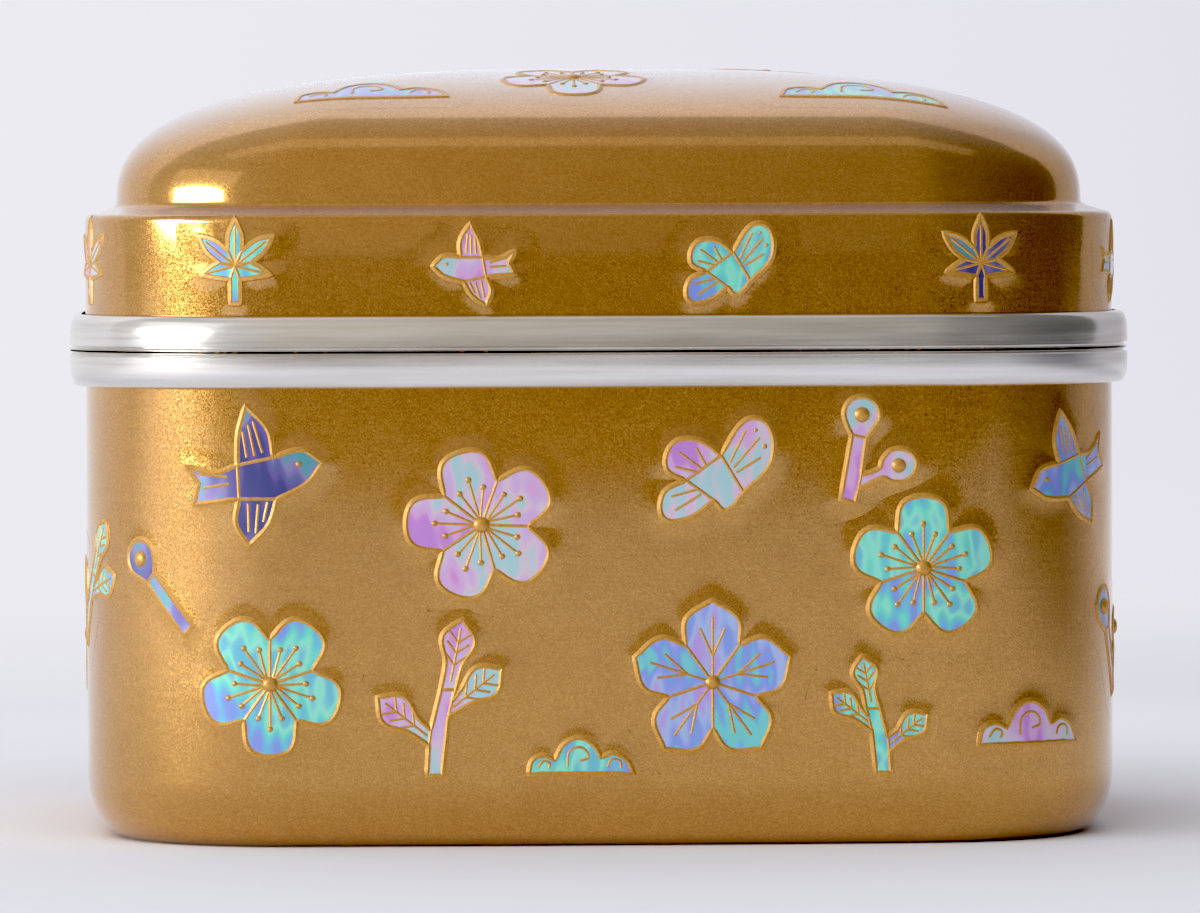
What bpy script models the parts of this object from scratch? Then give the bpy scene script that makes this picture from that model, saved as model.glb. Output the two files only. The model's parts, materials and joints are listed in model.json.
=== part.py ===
"""Incense box in gold lacquer: a hollow body and a lift-off domed lid, each edged in silver,
with ornaments of shell let into the lacquer. Metres, +Z up, front towards -Y."""

import math

import bmesh
import bpy
import numpy as np
from mathutils import Vector
from mathutils.bvhtree import BVHTree

# Body, over its lacquer
WIDTH = 0.0800
DEPTH = 0.0640
CORNER_RADIUS = 0.0160
SIDE_BOW = math.radians(2)  # a side turns this far from its middle to where its corner starts
MOUTH_HEIGHT = 0.0374  # from the underside to the top of the body's silver rim
WALL = 0.0034
FLOOR = 0.0030
FOOT_INSET = 0.0030  # the bottom edge is rounded by this much inwards
FOOT_HEIGHT = 0.0050  # and by this much upwards
INNER_ROUNDING = 0.0030

# How the two halves meet
FIT_GAP = 0.0003  # left between pieces that touch
LIP_THICKNESS = 0.0011
LIP_RISE = 0.0036  # of the lip that the lid fits over, above the silver
LIP_CHAMFER = 0.0003

# Silver rims
RIM_PROUD = 0.0012
RIM_HEIGHT = 0.0027
RIM_ROUNDING = 0.0011  # height of the rounded shoulder
RIM_WEB = 0.0007  # thickness of the part that covers the wood's edge
RIM_EDGE = 0.0002  # the small rounding where the two rims meet

# Lid
BAND_HEIGHT = 0.0103  # from the lid's lower edge to the ledge
BAND_ROUNDING = 0.0005
LEDGE_WIDTH = 0.0024
LEDGE_RISE = 0.0006
DOME_RISE = 0.0107
DOME_FULLNESS = 2.7  # 2 would be an ellipse, and more is squarer
DOME_THICKNESS = 0.0024

# Shell ornaments
POCKET_DEPTH = 0.0007
SHELL_PROUD = 0.0002
POCKET_OPENING = 0.0010  # how far a pocket's cutter reaches out of the surface
STALK = 0.0011  # width of a stalk
# The ornaments are drawn on a grid of small squares, about 1 mm each, which spreads out or closes
# up with the box: so many to a quarter of the way round, up the body, up the lid's band, and
# across and back over the dome.
QUARTER_SQUARES = 64
BODY_SQUARES = 35
BAND_SQUARES = 10
DOME_SQUARES = (75, 59)

# Fineness of the facets
CORNER_FACETS = 7
DOME_RINGS = 7
VAULT_RINGS = 4
ROUNDING_STEPS = 3
SHARP = math.radians(35)  # an edge that turns by more than this is shaded sharp
DOME_CUTS = 0.0055  # an ornament on the dome is bent along lines this far apart
CUT_MARGIN = 0.00005  # a corner this near to a line is taken to be on it

LID_BOTTOM = MOUTH_HEIGHT + FIT_GAP
LEDGE_BOTTOM = LID_BOTTOM + BAND_HEIGHT
DOME_FOOT = LEDGE_BOTTOM + LEDGE_RISE
LID_WALL = WALL - LIP_THICKNESS - FIT_GAP
RIM_COVER = RIM_WEB + FIT_GAP  # how far the wood stops short of the silver's edge


def colour(code):
    """Linear RGBA of an sRGB hex colour."""
    channels = [int(code[i : i + 2], 16) / 255 for i in (0, 2, 4)]
    return [c / 12.92 if c <= 0.04045 else ((c + 0.055) / 1.055) ** 2.4 for c in channels] + [1]


def material(name, code, metallic, roughness):
    made = bpy.data.materials.new(name)
    made.use_nodes = True
    shader = made.node_tree.nodes["Principled BSDF"]
    shader.inputs["Base Color"].default_value = colour(code)
    shader.inputs["Metallic"].default_value = metallic
    shader.inputs["Roughness"].default_value = roughness
    made.diffuse_color = colour(code)
    return made


def side_radii():
    """Radii of the front's and the ends' long arcs, which run into the corners without a kink."""
    turn, rest = math.sin(SIDE_BOW), 1 - math.cos(SIDE_BOW)
    # Half the width is front * turn + corner + end * rest, and half the depth is the reverse.
    corner = CORNER_RADIUS * (1 - rest - turn)
    half_width, half_depth = WIDTH / 2 - corner, DEPTH / 2 - corner
    scale = turn**2 - rest**2
    front = (half_width * turn - half_depth * rest) / scale
    end = (half_depth * turn - half_width * rest) / scale
    return front, end


FRONT_RADIUS, END_RADIUS = side_radii()


def plan_corners():
    """Ways the plan faces at its facets' corners, and the runs up to them, from mid front round."""
    corner_turn = (math.pi / 2 - 2 * SIDE_BOW) / CORNER_FACETS
    facings, runs = [-math.pi / 2], [0.0]
    for start, end in 2 * [(FRONT_RADIUS, END_RADIUS), (END_RADIUS, FRONT_RADIUS)]:
        corner = CORNER_FACETS * [(CORNER_RADIUS, corner_turn)]
        for radius, turn in [(start, SIDE_BOW), *corner, (end, SIDE_BOW)]:
            facings.append(facings[-1] + turn)
            runs.append(runs[-1] + radius * turn)
    return facings, runs


FACINGS, RUNS = plan_corners()
ROUND_RUN = RUNS[-1]
QUARTER_RUN = ROUND_RUN / 4


def wall_point(facing, offset, height):
    """Point of the wall where it faces this way, seen from above, moved outwards by offset."""
    x, y = math.cos(facing), math.sin(facing)
    turn = math.sin(SIDE_BOW)
    if abs(x) < turn:
        radius, centre_x, centre_y = FRONT_RADIUS, 0, DEPTH / 2 - FRONT_RADIUS
    elif abs(y) < turn:
        radius, centre_x, centre_y = END_RADIUS, WIDTH / 2 - END_RADIUS, 0
    else:
        radius = CORNER_RADIUS
        centre_x, centre_y = (FRONT_RADIUS - radius) * turn, (END_RADIUS - radius) * turn
    reach = radius + offset
    across = math.copysign(1, x) * centre_x + reach * x
    back = math.copysign(1, y) * centre_y + reach * y
    return Vector((across, back, height))


def ring(offset, height, share=1.0):
    """Points round the box at a height, drawn in towards the middle by share."""
    points = [wall_point(facing, offset, height) for facing in FACINGS[:-1]]
    return [Vector((share * p.x, share * p.y, p.z)) for p in points]


def rounding(offset, height, inwards, upwards):
    """(offset, height) along a quarter ellipse, from its flat end to its upright end."""
    angles = [math.pi / 2 * step / ROUNDING_STEPS for step in range(ROUNDING_STEPS + 1)]
    return [
        (offset + inwards * (1 - math.sin(a)), height + upwards * (1 - math.cos(a))) for a in angles
    ]


def skin(bm, rings, closed=False):
    """Skins the rings with quads, one ring to the next, and gives their vertices."""
    loops = [[bm.verts.new(point) for point in points] for points in rings]
    pairs = list(zip(loops, loops[1:]))
    if closed:
        pairs.append((loops[-1], loops[0]))
    for first, second in pairs:
        for i in range(len(first)):
            bm.faces.new((first[i - 1], first[i], second[i], second[i - 1]))
    return loops


def cap(bm, loop, peak=None):
    """Closes a ring with a flat face, or with triangles that meet over its middle at peak."""
    face = bm.faces.new(loop)
    if peak is not None:
        bmesh.ops.poke(bm, faces=[face])["verts"][0].co = (0, 0, peak)


def face_outwards(bm):
    bmesh.ops.recalc_face_normals(bm, faces=bm.faces)
    if bm.calc_volume(signed=True) < 0:
        bmesh.ops.reverse_faces(bm, faces=bm.faces)


def piece(name, bm, finish):
    """Makes the mesh a smooth-shaded object of one material, with its faces pointing out."""
    face_outwards(bm)
    mesh = bpy.data.meshes.new(name)
    bm.to_mesh(mesh)
    bm.free()
    mesh.shade_smooth()
    mesh.set_sharp_from_angle(angle=SHARP)
    if finish:
        mesh.materials.append(finish)
    made = bpy.data.objects.new(name, mesh)
    bpy.context.scene.collection.objects.link(made)
    return made


def body(finish):
    """The hollow box: rounded foot, wall, shoulder for the silver, lip, and the inside."""
    shoulder = MOUTH_HEIGHT - RIM_COVER
    lip_out = -(WALL - LIP_THICKNESS)
    lip_top = MOUTH_HEIGHT + LIP_RISE
    foot = rounding(0, 0, -FOOT_INSET, FOOT_HEIGHT)
    mouth = [
        (0, shoulder),
        (lip_out, shoulder),
        (lip_out, lip_top - LIP_CHAMFER),
        (lip_out - LIP_CHAMFER, lip_top),
        (-WALL + LIP_CHAMFER, lip_top),
        (-WALL, lip_top - LIP_CHAMFER),
    ]
    inside = rounding(-WALL, FLOOR, -INNER_ROUNDING, INNER_ROUNDING)
    bm = bmesh.new()
    loops = skin(bm, [ring(*point) for point in foot + mouth + inside[::-1]])
    cap(bm, loops[0])
    cap(bm, loops[-1])
    return piece("body", bm, finish)


def dome_rings(offset, foot, rise, rings):
    """Rings up a dome whose outline at its foot is the wall's, moved out by offset."""
    found = []
    for step in range(rings):
        angle = math.pi / 2 * step / rings
        share = math.cos(angle) ** (2 / DOME_FULLNESS)
        height = foot + rise * math.sin(angle) ** (2 / DOME_FULLNESS)
        found.append(ring(offset, height, share))
    return found


def lid(finish):
    """The hollow lid: band, sloping ledge and dome, with the vault inside it."""
    edge = LID_BOTTOM + RIM_COVER
    vault_offset = -(LEDGE_WIDTH + DOME_THICKNESS)
    vault = dome_rings(vault_offset, DOME_FOOT, DOME_RISE - DOME_THICKNESS, VAULT_RINGS)
    inner_wall = [(-LID_WALL, LEDGE_BOTTOM - DOME_THICKNESS), (-LID_WALL, edge)]
    band = [(0, edge), *rounding(0, LEDGE_BOTTOM, -BAND_ROUNDING, -BAND_ROUNDING)[::-1]]
    dome = dome_rings(-LEDGE_WIDTH, DOME_FOOT, DOME_RISE, DOME_RINGS)
    bm = bmesh.new()
    loops = skin(bm, vault[::-1] + [ring(*point) for point in inner_wall + band] + dome)
    cap(bm, loops[0], DOME_FOOT + DOME_RISE - DOME_THICKNESS)
    cap(bm, loops[-1], DOME_FOOT + DOME_RISE)
    return piece("lid", bm, finish)


def rim(name, meeting, away, inner, finish):
    """A silver edging: a flange down the wall's face and a web over the wood's edge. It meets the
    other rim at one height and reaches away from it, up (1) or down (-1)."""
    section = [
        *rounding(RIM_PROUD, RIM_HEIGHT, FIT_GAP - RIM_PROUD, -RIM_ROUNDING),
        (RIM_PROUD, RIM_EDGE),
        (RIM_PROUD - RIM_EDGE, 0),
        (inner, 0),
        (inner, RIM_WEB),
        (FIT_GAP, RIM_WEB),
    ]
    bm = bmesh.new()
    skin(bm, [ring(offset, meeting + away * reach) for offset, reach in section], closed=True)
    return piece(name, bm, finish)


def polar(reach, angle):
    """Point at an angle clockwise from straight up."""
    return reach * math.sin(angle), reach * math.cos(angle)


def blossom(size):
    """A plum blossom: five round petals that swell out from their notches."""
    petals, points, notch = 5, 4, 0.62
    outline = []
    for step in range(petals * points):
        swell = math.sin(math.pi * step / points) ** 2
        reach = size / 2 * (notch + (1 - notch) * swell**0.25)
        outline.append(polar(reach, math.tau * step / (petals * points)))
    return outline


def bellflower(size):
    """A bellflower: five petals that come to a point, with a swelling below it."""
    petals, notch, shoulder = 5, 0.56, 0.84
    reaches = (1, shoulder, notch, shoulder)
    spread = (0, 0.31, 0.5, 0.69)
    return [
        polar(size / 2 * reach, math.tau * (petal + turn) / petals)
        for petal in range(petals)
        for reach, turn in zip(reaches, spread)
    ]


def maple_leaf(size):
    """A maple leaf: five lobes and a stalk."""
    lobes = ((-104, 0.44), (-52, 0.58), (0, 0.56), (52, 0.58), (104, 0.44))
    notch, stalk, stalk_top, stalk_half = 0.20, 0.44, 0.16, 0.06
    shoulder_turn, shoulder = math.radians(13), 0.66
    outline = [(-stalk_half * size, -stalk_top * size)]
    for number, (degrees, reach) in enumerate(lobes):
        angle = math.radians(degrees)
        outline.append(polar(size * reach * shoulder, angle - shoulder_turn))
        outline.append(polar(size * reach, angle))
        outline.append(polar(size * reach * shoulder, angle + shoulder_turn))
        if number < len(lobes) - 1:
            between = math.radians((degrees + lobes[number + 1][0]) / 2)
            outline.append(polar(size * notch, between))
    outline.append((stalk_half * size, -stalk_top * size))
    outline.append((stalk_half * size, -stalk * size))
    outline.append((-stalk_half * size, -stalk * size))
    return outline


def scaled(points, size):
    return [(x * size, y * size) for x, y in points]


def plover(size):
    """A plover seen from above, flying to the right."""
    head = [(0.50, 0.02), (0.37, 0.14), (0.16, 0.13)]
    upper_wing = [(0.16, 0.34), (0.04, 0.54), (-0.06, 0.34), (-0.11, 0.13)]
    tail = [(-0.30, 0.11), (-0.50, 0.20), (-0.43, 0.06), (-0.50, -0.08)]
    lower_wing = [(-0.15, -0.11), (-0.21, -0.28), (-0.15, -0.46), (0.02, -0.34), (0.12, -0.17)]
    return scaled(head + upper_wing + tail + lower_wing + [(0.36, -0.10)], size)


def butterfly(size):
    """A butterfly from the side, its four wings spread."""
    fore_wing = [(0.20, -0.12), (0.42, 0.12), (0.40, 0.42), (0.22, 0.46), (0.02, 0.18)]
    hind_wing = [(-0.16, 0.30), (-0.36, 0.28), (-0.42, 0.08), (-0.26, -0.02)]
    tail = [(-0.44, -0.12), (-0.44, -0.32), (-0.24, -0.32), (-0.04, -0.18), (0.06, -0.26)]
    return scaled(fore_wing + hind_wing + tail, size)


def cloud(size):
    """A low bank of mist: three humps over a flat foot."""
    left = [(-0.50, -0.10), (-0.46, 0.03), (-0.35, 0.07), (-0.25, 0.03)]
    middle = [(-0.16, 0.18), (-0.02, 0.24), (0.12, 0.17)]
    right = [(0.19, 0.05), (0.31, 0.09), (0.43, 0.03), (0.50, -0.10)]
    return scaled(left + middle + right, size)


# What grows on a stalk: its length and width for a stalk of length 1, and its half width, for a
# width of 1, at shares of its length.
LEAF = (0.42, 0.21, [(0.32, 0.26), (0.70, 0.50)])
BUD = (0.34, 0.34, [(0.14, 0.36), (0.50, 0.50), (0.86, 0.36)])
SIDE_BUD = (0.58, 0.32, [(0.38, 0.14), (0.50, 0.36), (0.70, 0.50), (0.91, 0.34)])


def lobe(base, angle, size, growth):
    """Edge of a leaf or a bud: out from its base along one side and back along the other."""
    length, width, shares = growth
    ahead = Vector(polar(size, angle))
    aside = Vector((-ahead.y, ahead.x)) * width
    out = [base + ahead * length * at + aside * half for at, half in shares]
    back = [base + ahead * length * at - aside * half for at, half in shares[::-1]]
    return [*out, base + ahead * length, *back]


def sprig(size, lean=0.10, left=(0.24,), right=(0.42,), aside=LEAF, tip=LEAF):
    """A stalk that leans to the right, with a leaf or a bud at its tip and at shares of its
    length on either side."""
    stalk = size * (1 - tip[0])
    angle = math.radians(52)
    neck = STALK / 2

    def edge(reach, side):
        return Vector((lean * size * (reach / stalk) ** 2 + side * STALK / 2, reach))

    def grown(share, side):
        reach = share * size
        growth = lobe(edge(reach, side), side * angle, size, aside)
        return [edge(reach + side * neck, side), *growth, edge(reach - side * neck, side)]

    upwards = [edge(0, -1)]
    for share in left:
        upwards += grown(share, -1)
    top = lobe(Vector((lean * size, stalk)), math.atan(2 * lean), size, tip)
    downwards = []
    for share in right[::-1]:
        downwards += grown(share, 1)
    middle = Vector((lean * size / 2, size / 2))
    return [tuple(point - middle) for point in [*upwards, *top, *downwards, edge(0, 1)]]


def bud(size):
    """A bud on its bare stalk."""
    return sprig(size, left=(), right=(), tip=BUD)


def forked_buds(size):
    """Two buds on a forked stalk."""
    return sprig(size, lean=-0.06, left=(), right=(0.20,), aside=SIDE_BUD, tip=BUD)


def on_wall(run, height, lift):
    """Point over the wall, by the run from the middle of the front to the right and the height."""
    run %= ROUND_RUN
    return wall_point(float(np.interp(run, RUNS, FACINGS)), lift, height)


def on_surface(tree):
    """A function that gives points over the dome, as seen from above."""

    def place(across, back, lift):
        well_above = Vector((across, back, 2 * (DOME_FOOT + DOME_RISE)))
        hit = tree.ray_cast(well_above, Vector((0, 0, -1)))[0]
        return hit + Vector((0, 0, lift))

    return place


def bend_lines(low, high, place):
    """Places between low and high where a slab that lies on the surface is bent. On the wall they
    lie half way between the wall's own edges, so that a cut never runs along one."""
    if place is on_wall:
        first = math.floor(low / ROUND_RUN)
        turns = [ROUND_RUN * (first + extra) for extra in range(3)]
        lines = [turn + (a + b) / 2 for turn in turns for a, b in zip(RUNS, RUNS[1:])]
    else:
        count = math.ceil(high / DOME_CUTS) + 1
        lines = [DOME_CUTS * (number + 0.5) for number in range(-count, count)]
    return [line for line in lines if low + CUT_MARGIN < line < high - CUT_MARGIN]


def slab(outline, place, low, high, inset=0.0):
    """A closed slab of the outline, bent to the surface, between two lifts over it."""
    bm = bmesh.new()
    face = bm.faces.new([bm.verts.new((x, y, 0)) for x, y in outline])
    face.normal_update()
    if inset:
        border = bmesh.ops.inset_individual(
            bm, faces=[face], thickness=inset, use_even_offset=True
        )
        bmesh.ops.delete(bm, geom=border["faces"], context="FACES")
    axes = (0,) if place is on_wall else (0, 1)
    for axis in axes:
        spread = [vert.co[axis] for vert in bm.verts]
        normal = [1 - axis, axis, 0]
        for line in bend_lines(min(spread), max(spread), place):
            through = [line * part for part in normal]
            geometry = bm.verts[:] + bm.edges[:] + bm.faces[:]
            bmesh.ops.bisect_plane(
                bm, geom=geometry, dist=CUT_MARGIN, plane_co=through, plane_no=normal
            )
    grown = bmesh.ops.extrude_face_region(bm, geom=bm.faces[:], use_keep_orig=True)["geom"]
    raised = {vert for vert in grown if isinstance(vert, bmesh.types.BMVert)}
    for vert in bm.verts:
        vert.co = place(vert.co.x, vert.co.y, high if vert in raised else low)
    return bm


SIDES = ("front", "right", "back", "left")  # each a quarter of the run round the box

# The ornaments of the body and of the lid's band. After its name come its shape and its shell,
# the side it is on, how far along that side it lies to the right of the middle, its height over
# the lower edge and its size, in squares of the grid, and its turn clockwise in degrees. A
# negative size mirrors it.
BODY_ORNAMENTS = {
    "blossom_front_left": (blossom, "teal", "front", -25.3, 12.6, 11.0, 0),
    "blossom_front_middle": (blossom, "rose", "front", -9.4, 24.7, 11.5, 20),
    "bellflower_front": (bellflower, "blue", "front", 7.9, 12.6, 12.5, 0),
    "blossom_front_right": (blossom, "teal", "front", 23.8, 21.2, 11.0, 36),
    "plover_front_left": (plover, "dusk", "front", -26.3, 28.2, 10.5, -12),
    "butterfly_front": (butterfly, "rose", "front", 8.4, 28.2, 9.5, 0),
    "plover_front_right": (plover, "blue", "front", 37.2, 28.2, -9.5, 15),
    "sprig_front_left": (sprig, "rose", "front", -12.4, 11.6, 12.0, 0),
    "sprig_front_right": (sprig, "teal", "front", 20.3, 10.1, -9.0, 0),
    "buds_front": (forked_buds, "rose", "front", 18.9, 30.3, 8.0, 15),
    "bud_front_left": (bud, "dusk", "front", -34.7, 19.7, 8.5, -50),
    "cloud_front_left": (cloud, "teal", "front", -2.0, 6.5, 8.0, 0),
    "cloud_front_right": (cloud, "rose", "front", 32.7, 8.6, 9.5, 0),
    "buds_right": (forked_buds, "dusk", "right", -20.3, 15.1, 9.0, -20),
    "blossom_right": (blossom, "rose", "right", -3.0, 14.1, 11.0, 0),
    "plover_right": (plover, "blue", "right", 10.9, 26.7, 9.5, -10),
    "sprig_right": (sprig, "teal", "right", 14.9, 11.6, -10.0, 0),
    "sprig_left": (sprig, "teal", "left", 19.8, 20.2, 11.0, 20),
    "blossom_left": (blossom, "teal", "left", 3.0, 15.1, 11.0, 20),
    "butterfly_left": (butterfly, "rose", "left", -11.9, 26.2, 9.5, 10),
    "cloud_left": (cloud, "dusk", "left", -12.9, 8.6, 9.0, 0),
    "bellflower_back": (bellflower, "teal", "back", -15.9, 18.2, 12.5, 0),
    "blossom_back": (blossom, "rose", "back", 10.9, 13.6, 11.5, 20),
    "plover_back": (plover, "dusk", "back", 18.9, 27.7, 10.5, -8),
    "sprig_back": (sprig, "rose", "back", -1.2, 25.2, 11.0, 20),
    "butterfly_back": (butterfly, "blue", "back", -30.8, 27.7, 9.5, 0),
    "cloud_back": (cloud, "teal", "back", 29.1, 8.6, 9.5, 0),
}
BAND_ORNAMENTS = {
    "maple_band_front_left": (maple_leaf, "teal", "front", -27.8, 6.2, 6.4, 0),
    "plover_band_front": (plover, "rose", "front", -9.9, 6.0, -6.1, 0),
    "butterfly_band_front": (butterfly, "teal", "front", 9.4, 5.8, 7.2, 0),
    "maple_band_front_right": (maple_leaf, "dusk", "front", 28.3, 6.2, 6.4, 0),
    "plover_band_right": (plover, "teal", "right", -18.9, 6.0, 6.1, 0),
    "maple_band_left": (maple_leaf, "rose", "left", 19.8, 6.2, 6.4, 0),
    "maple_band_back": (maple_leaf, "teal", "back", -15.9, 6.2, 6.4, 0),
    "plover_band_back": (plover, "blue", "back", 14.9, 6.0, 6.1, 0),
}
# On the dome the places are across and back from its middle.
DOME_ORNAMENTS = {
    "cloud_top_left": (cloud, "blue", -17.5, -21.5, 11.5, 0),
    "blossom_top": (blossom, "rose", -2.0, -17.0, 11.0, 0),
    "cloud_top_right": (cloud, "teal", 20.0, -21.5, 12.5, 0),
    "bellflower_top": (bellflower, "teal", 14.0, 4.0, 12.5, 0),
    "sprig_top": (sprig, "rose", -17.0, 7.0, 12.5, 30),
}


def laid(shape, along, up, size, turn, square):
    """The shape's outline in its place on an unrolled surface whose grid has squares this size."""
    outline = shape(abs(size) * min(square))
    angle = -math.radians(turn)
    flip = math.copysign(1, size)
    c, s = math.cos(angle), math.sin(angle)
    across, rise = along * square[0], up * square[1]
    return [(across + flip * (c * x - s * y), rise + s * x + c * y) for x, y in outline]


def let_in(name, outline, place, pockets, finish):
    """A shell ornament in its pocket, with the pocket's cutter added to the other pockets."""
    pocket = slab(outline, place, -POCKET_DEPTH, POCKET_OPENING)
    face_outwards(pocket)
    cutter = bpy.data.meshes.new(name + "_pocket")
    pocket.to_mesh(cutter)
    pocket.free()
    pockets.from_mesh(cutter)
    bpy.data.meshes.remove(cutter)
    shell = slab(outline, place, FIT_GAP - POCKET_DEPTH, SHELL_PROUD, inset=FIT_GAP)
    piece(name, shell, finish)


def cut(made, pockets):
    """Cuts all the pockets at once."""
    cutter = piece(made.name + "_pockets", pockets, None)
    cutter.hide_render = True
    cutter.display_type = "WIRE"
    boolean = made.modifiers.new("Pockets", "BOOLEAN")
    boolean.object = cutter
    boolean.operation = "DIFFERENCE"
    boolean.solver = "EXACT"


def main():
    for old in list(bpy.data.objects):
        bpy.data.objects.remove(old)
    lacquer = material("gold_lacquer", "A97A32", 0.75, 0.35)
    silver = material("silver", "C9C4BE", 1.0, 0.25)
    shells = {
        "rose": material("shell_rose", "B48FBE", 0.1, 0.2),
        "teal": material("shell_teal", "6FB7B5", 0.1, 0.2),
        "blue": material("shell_blue", "7C97CF", 0.1, 0.2),
        "dusk": material("shell_dusk", "5C5884", 0.1, 0.2),
    }
    box, cover = body(lacquer), lid(lacquer)
    rim("body_rim", MOUTH_HEIGHT, -1, -LID_WALL, silver)
    rim("lid_rim", LID_BOTTOM, 1, -LID_WALL, silver)

    walls = (
        (BODY_ORNAMENTS, box, 0, (MOUTH_HEIGHT - RIM_HEIGHT) / BODY_SQUARES),
        (BAND_ORNAMENTS, cover, LID_BOTTOM, BAND_HEIGHT / BAND_SQUARES),
    )
    pockets = {box: bmesh.new(), cover: bmesh.new()}
    for ornaments, owner, foot, rise in walls:
        square = (QUARTER_RUN / QUARTER_SQUARES, rise)
        for name, (shape, shell, side, along, up, size, turn) in ornaments.items():
            middle = SIDES.index(side) * QUARTER_RUN
            outline = laid(shape, along, up, size, turn, square)
            outline = [(middle + x, foot + y) for x, y in outline]
            let_in(name, outline, on_wall, pockets[owner], shells[shell])
    vertices = [vertex.co for vertex in cover.data.vertices]
    faces = [face.vertices for face in cover.data.polygons]
    on_dome = on_surface(BVHTree.FromPolygons(vertices, faces))
    foot_size = (WIDTH - 2 * LEDGE_WIDTH, DEPTH - 2 * LEDGE_WIDTH)
    square = [size / squares for size, squares in zip(foot_size, DOME_SQUARES)]
    for name, (shape, shell, across, back, size, turn) in DOME_ORNAMENTS.items():
        outline = laid(shape, across, back, size, turn, square)
        let_in(name, outline, on_dome, pockets[cover], shells[shell])
    for owner, cutters in pockets.items():
        cut(owner, cutters)


main()
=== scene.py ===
# %% [markdown]
# # A gold lacquer incense box
# The real thing is a hollow wooden box, coated with many layers of lacquer and gold powder. A
# domed lid lifts off it, silver edges both mouths, and ornaments of mother-of-pearl are let into
# the gold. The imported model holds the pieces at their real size. This lesson gives each one its
# fine shape and its finish, and lights them as a small studio would.

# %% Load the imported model
import json
import math

import bmesh
import bpy
import numpy as np
from bmesh.types import BMEdge, BMFace, BMVert
from mathutils import Matrix, Vector
from mathutils.geometry import interpolate_bezier

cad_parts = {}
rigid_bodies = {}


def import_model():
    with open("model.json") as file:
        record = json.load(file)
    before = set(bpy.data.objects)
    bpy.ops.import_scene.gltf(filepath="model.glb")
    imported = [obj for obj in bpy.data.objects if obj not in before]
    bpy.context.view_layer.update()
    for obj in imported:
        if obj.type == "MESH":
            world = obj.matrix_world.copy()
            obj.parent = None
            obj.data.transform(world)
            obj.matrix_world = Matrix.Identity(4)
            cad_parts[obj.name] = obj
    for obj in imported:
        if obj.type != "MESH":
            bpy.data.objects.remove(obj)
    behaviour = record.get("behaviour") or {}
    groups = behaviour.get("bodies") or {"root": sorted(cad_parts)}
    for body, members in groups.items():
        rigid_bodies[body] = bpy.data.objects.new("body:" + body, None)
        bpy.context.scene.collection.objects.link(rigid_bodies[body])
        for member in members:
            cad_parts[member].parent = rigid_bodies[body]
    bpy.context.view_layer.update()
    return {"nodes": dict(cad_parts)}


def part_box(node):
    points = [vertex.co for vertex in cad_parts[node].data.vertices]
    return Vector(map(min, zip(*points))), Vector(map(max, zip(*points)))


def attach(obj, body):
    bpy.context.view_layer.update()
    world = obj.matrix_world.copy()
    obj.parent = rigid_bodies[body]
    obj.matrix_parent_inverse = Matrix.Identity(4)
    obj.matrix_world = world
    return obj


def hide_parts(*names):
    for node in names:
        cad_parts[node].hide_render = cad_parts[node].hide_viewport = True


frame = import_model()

MM = 0.001
print(f"{len(frame['nodes'])} packed nodes")

# %% [markdown]
# ## Sizes
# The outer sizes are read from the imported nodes, so the fine pieces lie where the plain ones do.
# What a box round a node can't tell, such as a wall's thickness, is written here in millimetres.

# %% Sizes of the body
body_low, body_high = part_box("body")
WIDTH = body_high.x - body_low.x
DEPTH = body_high.y - body_low.y
LIP_TOP = body_high.z
CORNER_RADIUS = 16 * MM
SIDE_BOW = math.radians(2)  # a side turns this far from its middle to where its corner starts
WALL = 3.4 * MM
FLOOR = 3 * MM
FOOT_INSET = 3 * MM
FOOT_HEIGHT = 5 * MM
INNER_ROUNDING = 3 * MM
LIP_THICKNESS = 1.1 * MM
LIP_ROUNDING = 0.3 * MM
FIT_GAP = 0.3 * MM
print(f"body {WIDTH / MM:.1f} x {DEPTH / MM:.1f} mm")

# %% Sizes of the rims and the lid
rim_low, rim_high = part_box("body_rim")
lid_rim_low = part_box("lid_rim")[0]
lid_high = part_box("lid")[1]
RIM_PROUD = rim_high.x - body_high.x
RIM_HEIGHT = rim_high.z - rim_low.z
RIM_WEB = 0.7 * MM
MOUTH = rim_high.z
LID_BOTTOM = lid_rim_low.z
RIM_COVER = RIM_WEB + FIT_GAP
LID_WALL = WALL - LIP_THICKNESS - FIT_GAP
BAND_HEIGHT = 10.3 * MM
BAND_ROUNDING = 0.5 * MM
LEDGE_WIDTH = 2.4 * MM
LEDGE_RISE = 0.6 * MM
DOME_FULLNESS = 2.7  # 2 would be an ellipse, and more is squarer
DOME_THICKNESS = 2.4 * MM
LEDGE_BOTTOM = LID_BOTTOM + BAND_HEIGHT
DOME_FOOT = LEDGE_BOTTOM + LEDGE_RISE
DOME_RISE = 10.7 * MM
print(f"dome top at {(DOME_FOOT + DOME_RISE) / MM:.1f} mm, lid's box up to {lid_high.z / MM:.1f} mm")

# %% [markdown]
# ## The plan of the box
# Seen from above, the box is a rectangle whose sides bow a little and whose corners are round.
# Eight circle arcs make it: long shallow ones along the sides and tight ones at the corners. They
# meet without a kink, so each place is told by the way the wall faces there.

# %% The plan's arcs
turn, rest = math.sin(SIDE_BOW), 1 - math.cos(SIDE_BOW)
corner_part = CORNER_RADIUS * (1 - rest - turn)
half_width, half_depth = WIDTH / 2 - corner_part, DEPTH / 2 - corner_part
FRONT_RADIUS = (half_width * turn - half_depth * rest) / (turn**2 - rest**2)
END_RADIUS = (half_depth * turn - half_width * rest) / (turn**2 - rest**2)
print(f"sides bow on radii of {FRONT_RADIUS / MM:.0f} and {END_RADIUS / MM:.0f} mm")


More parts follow.
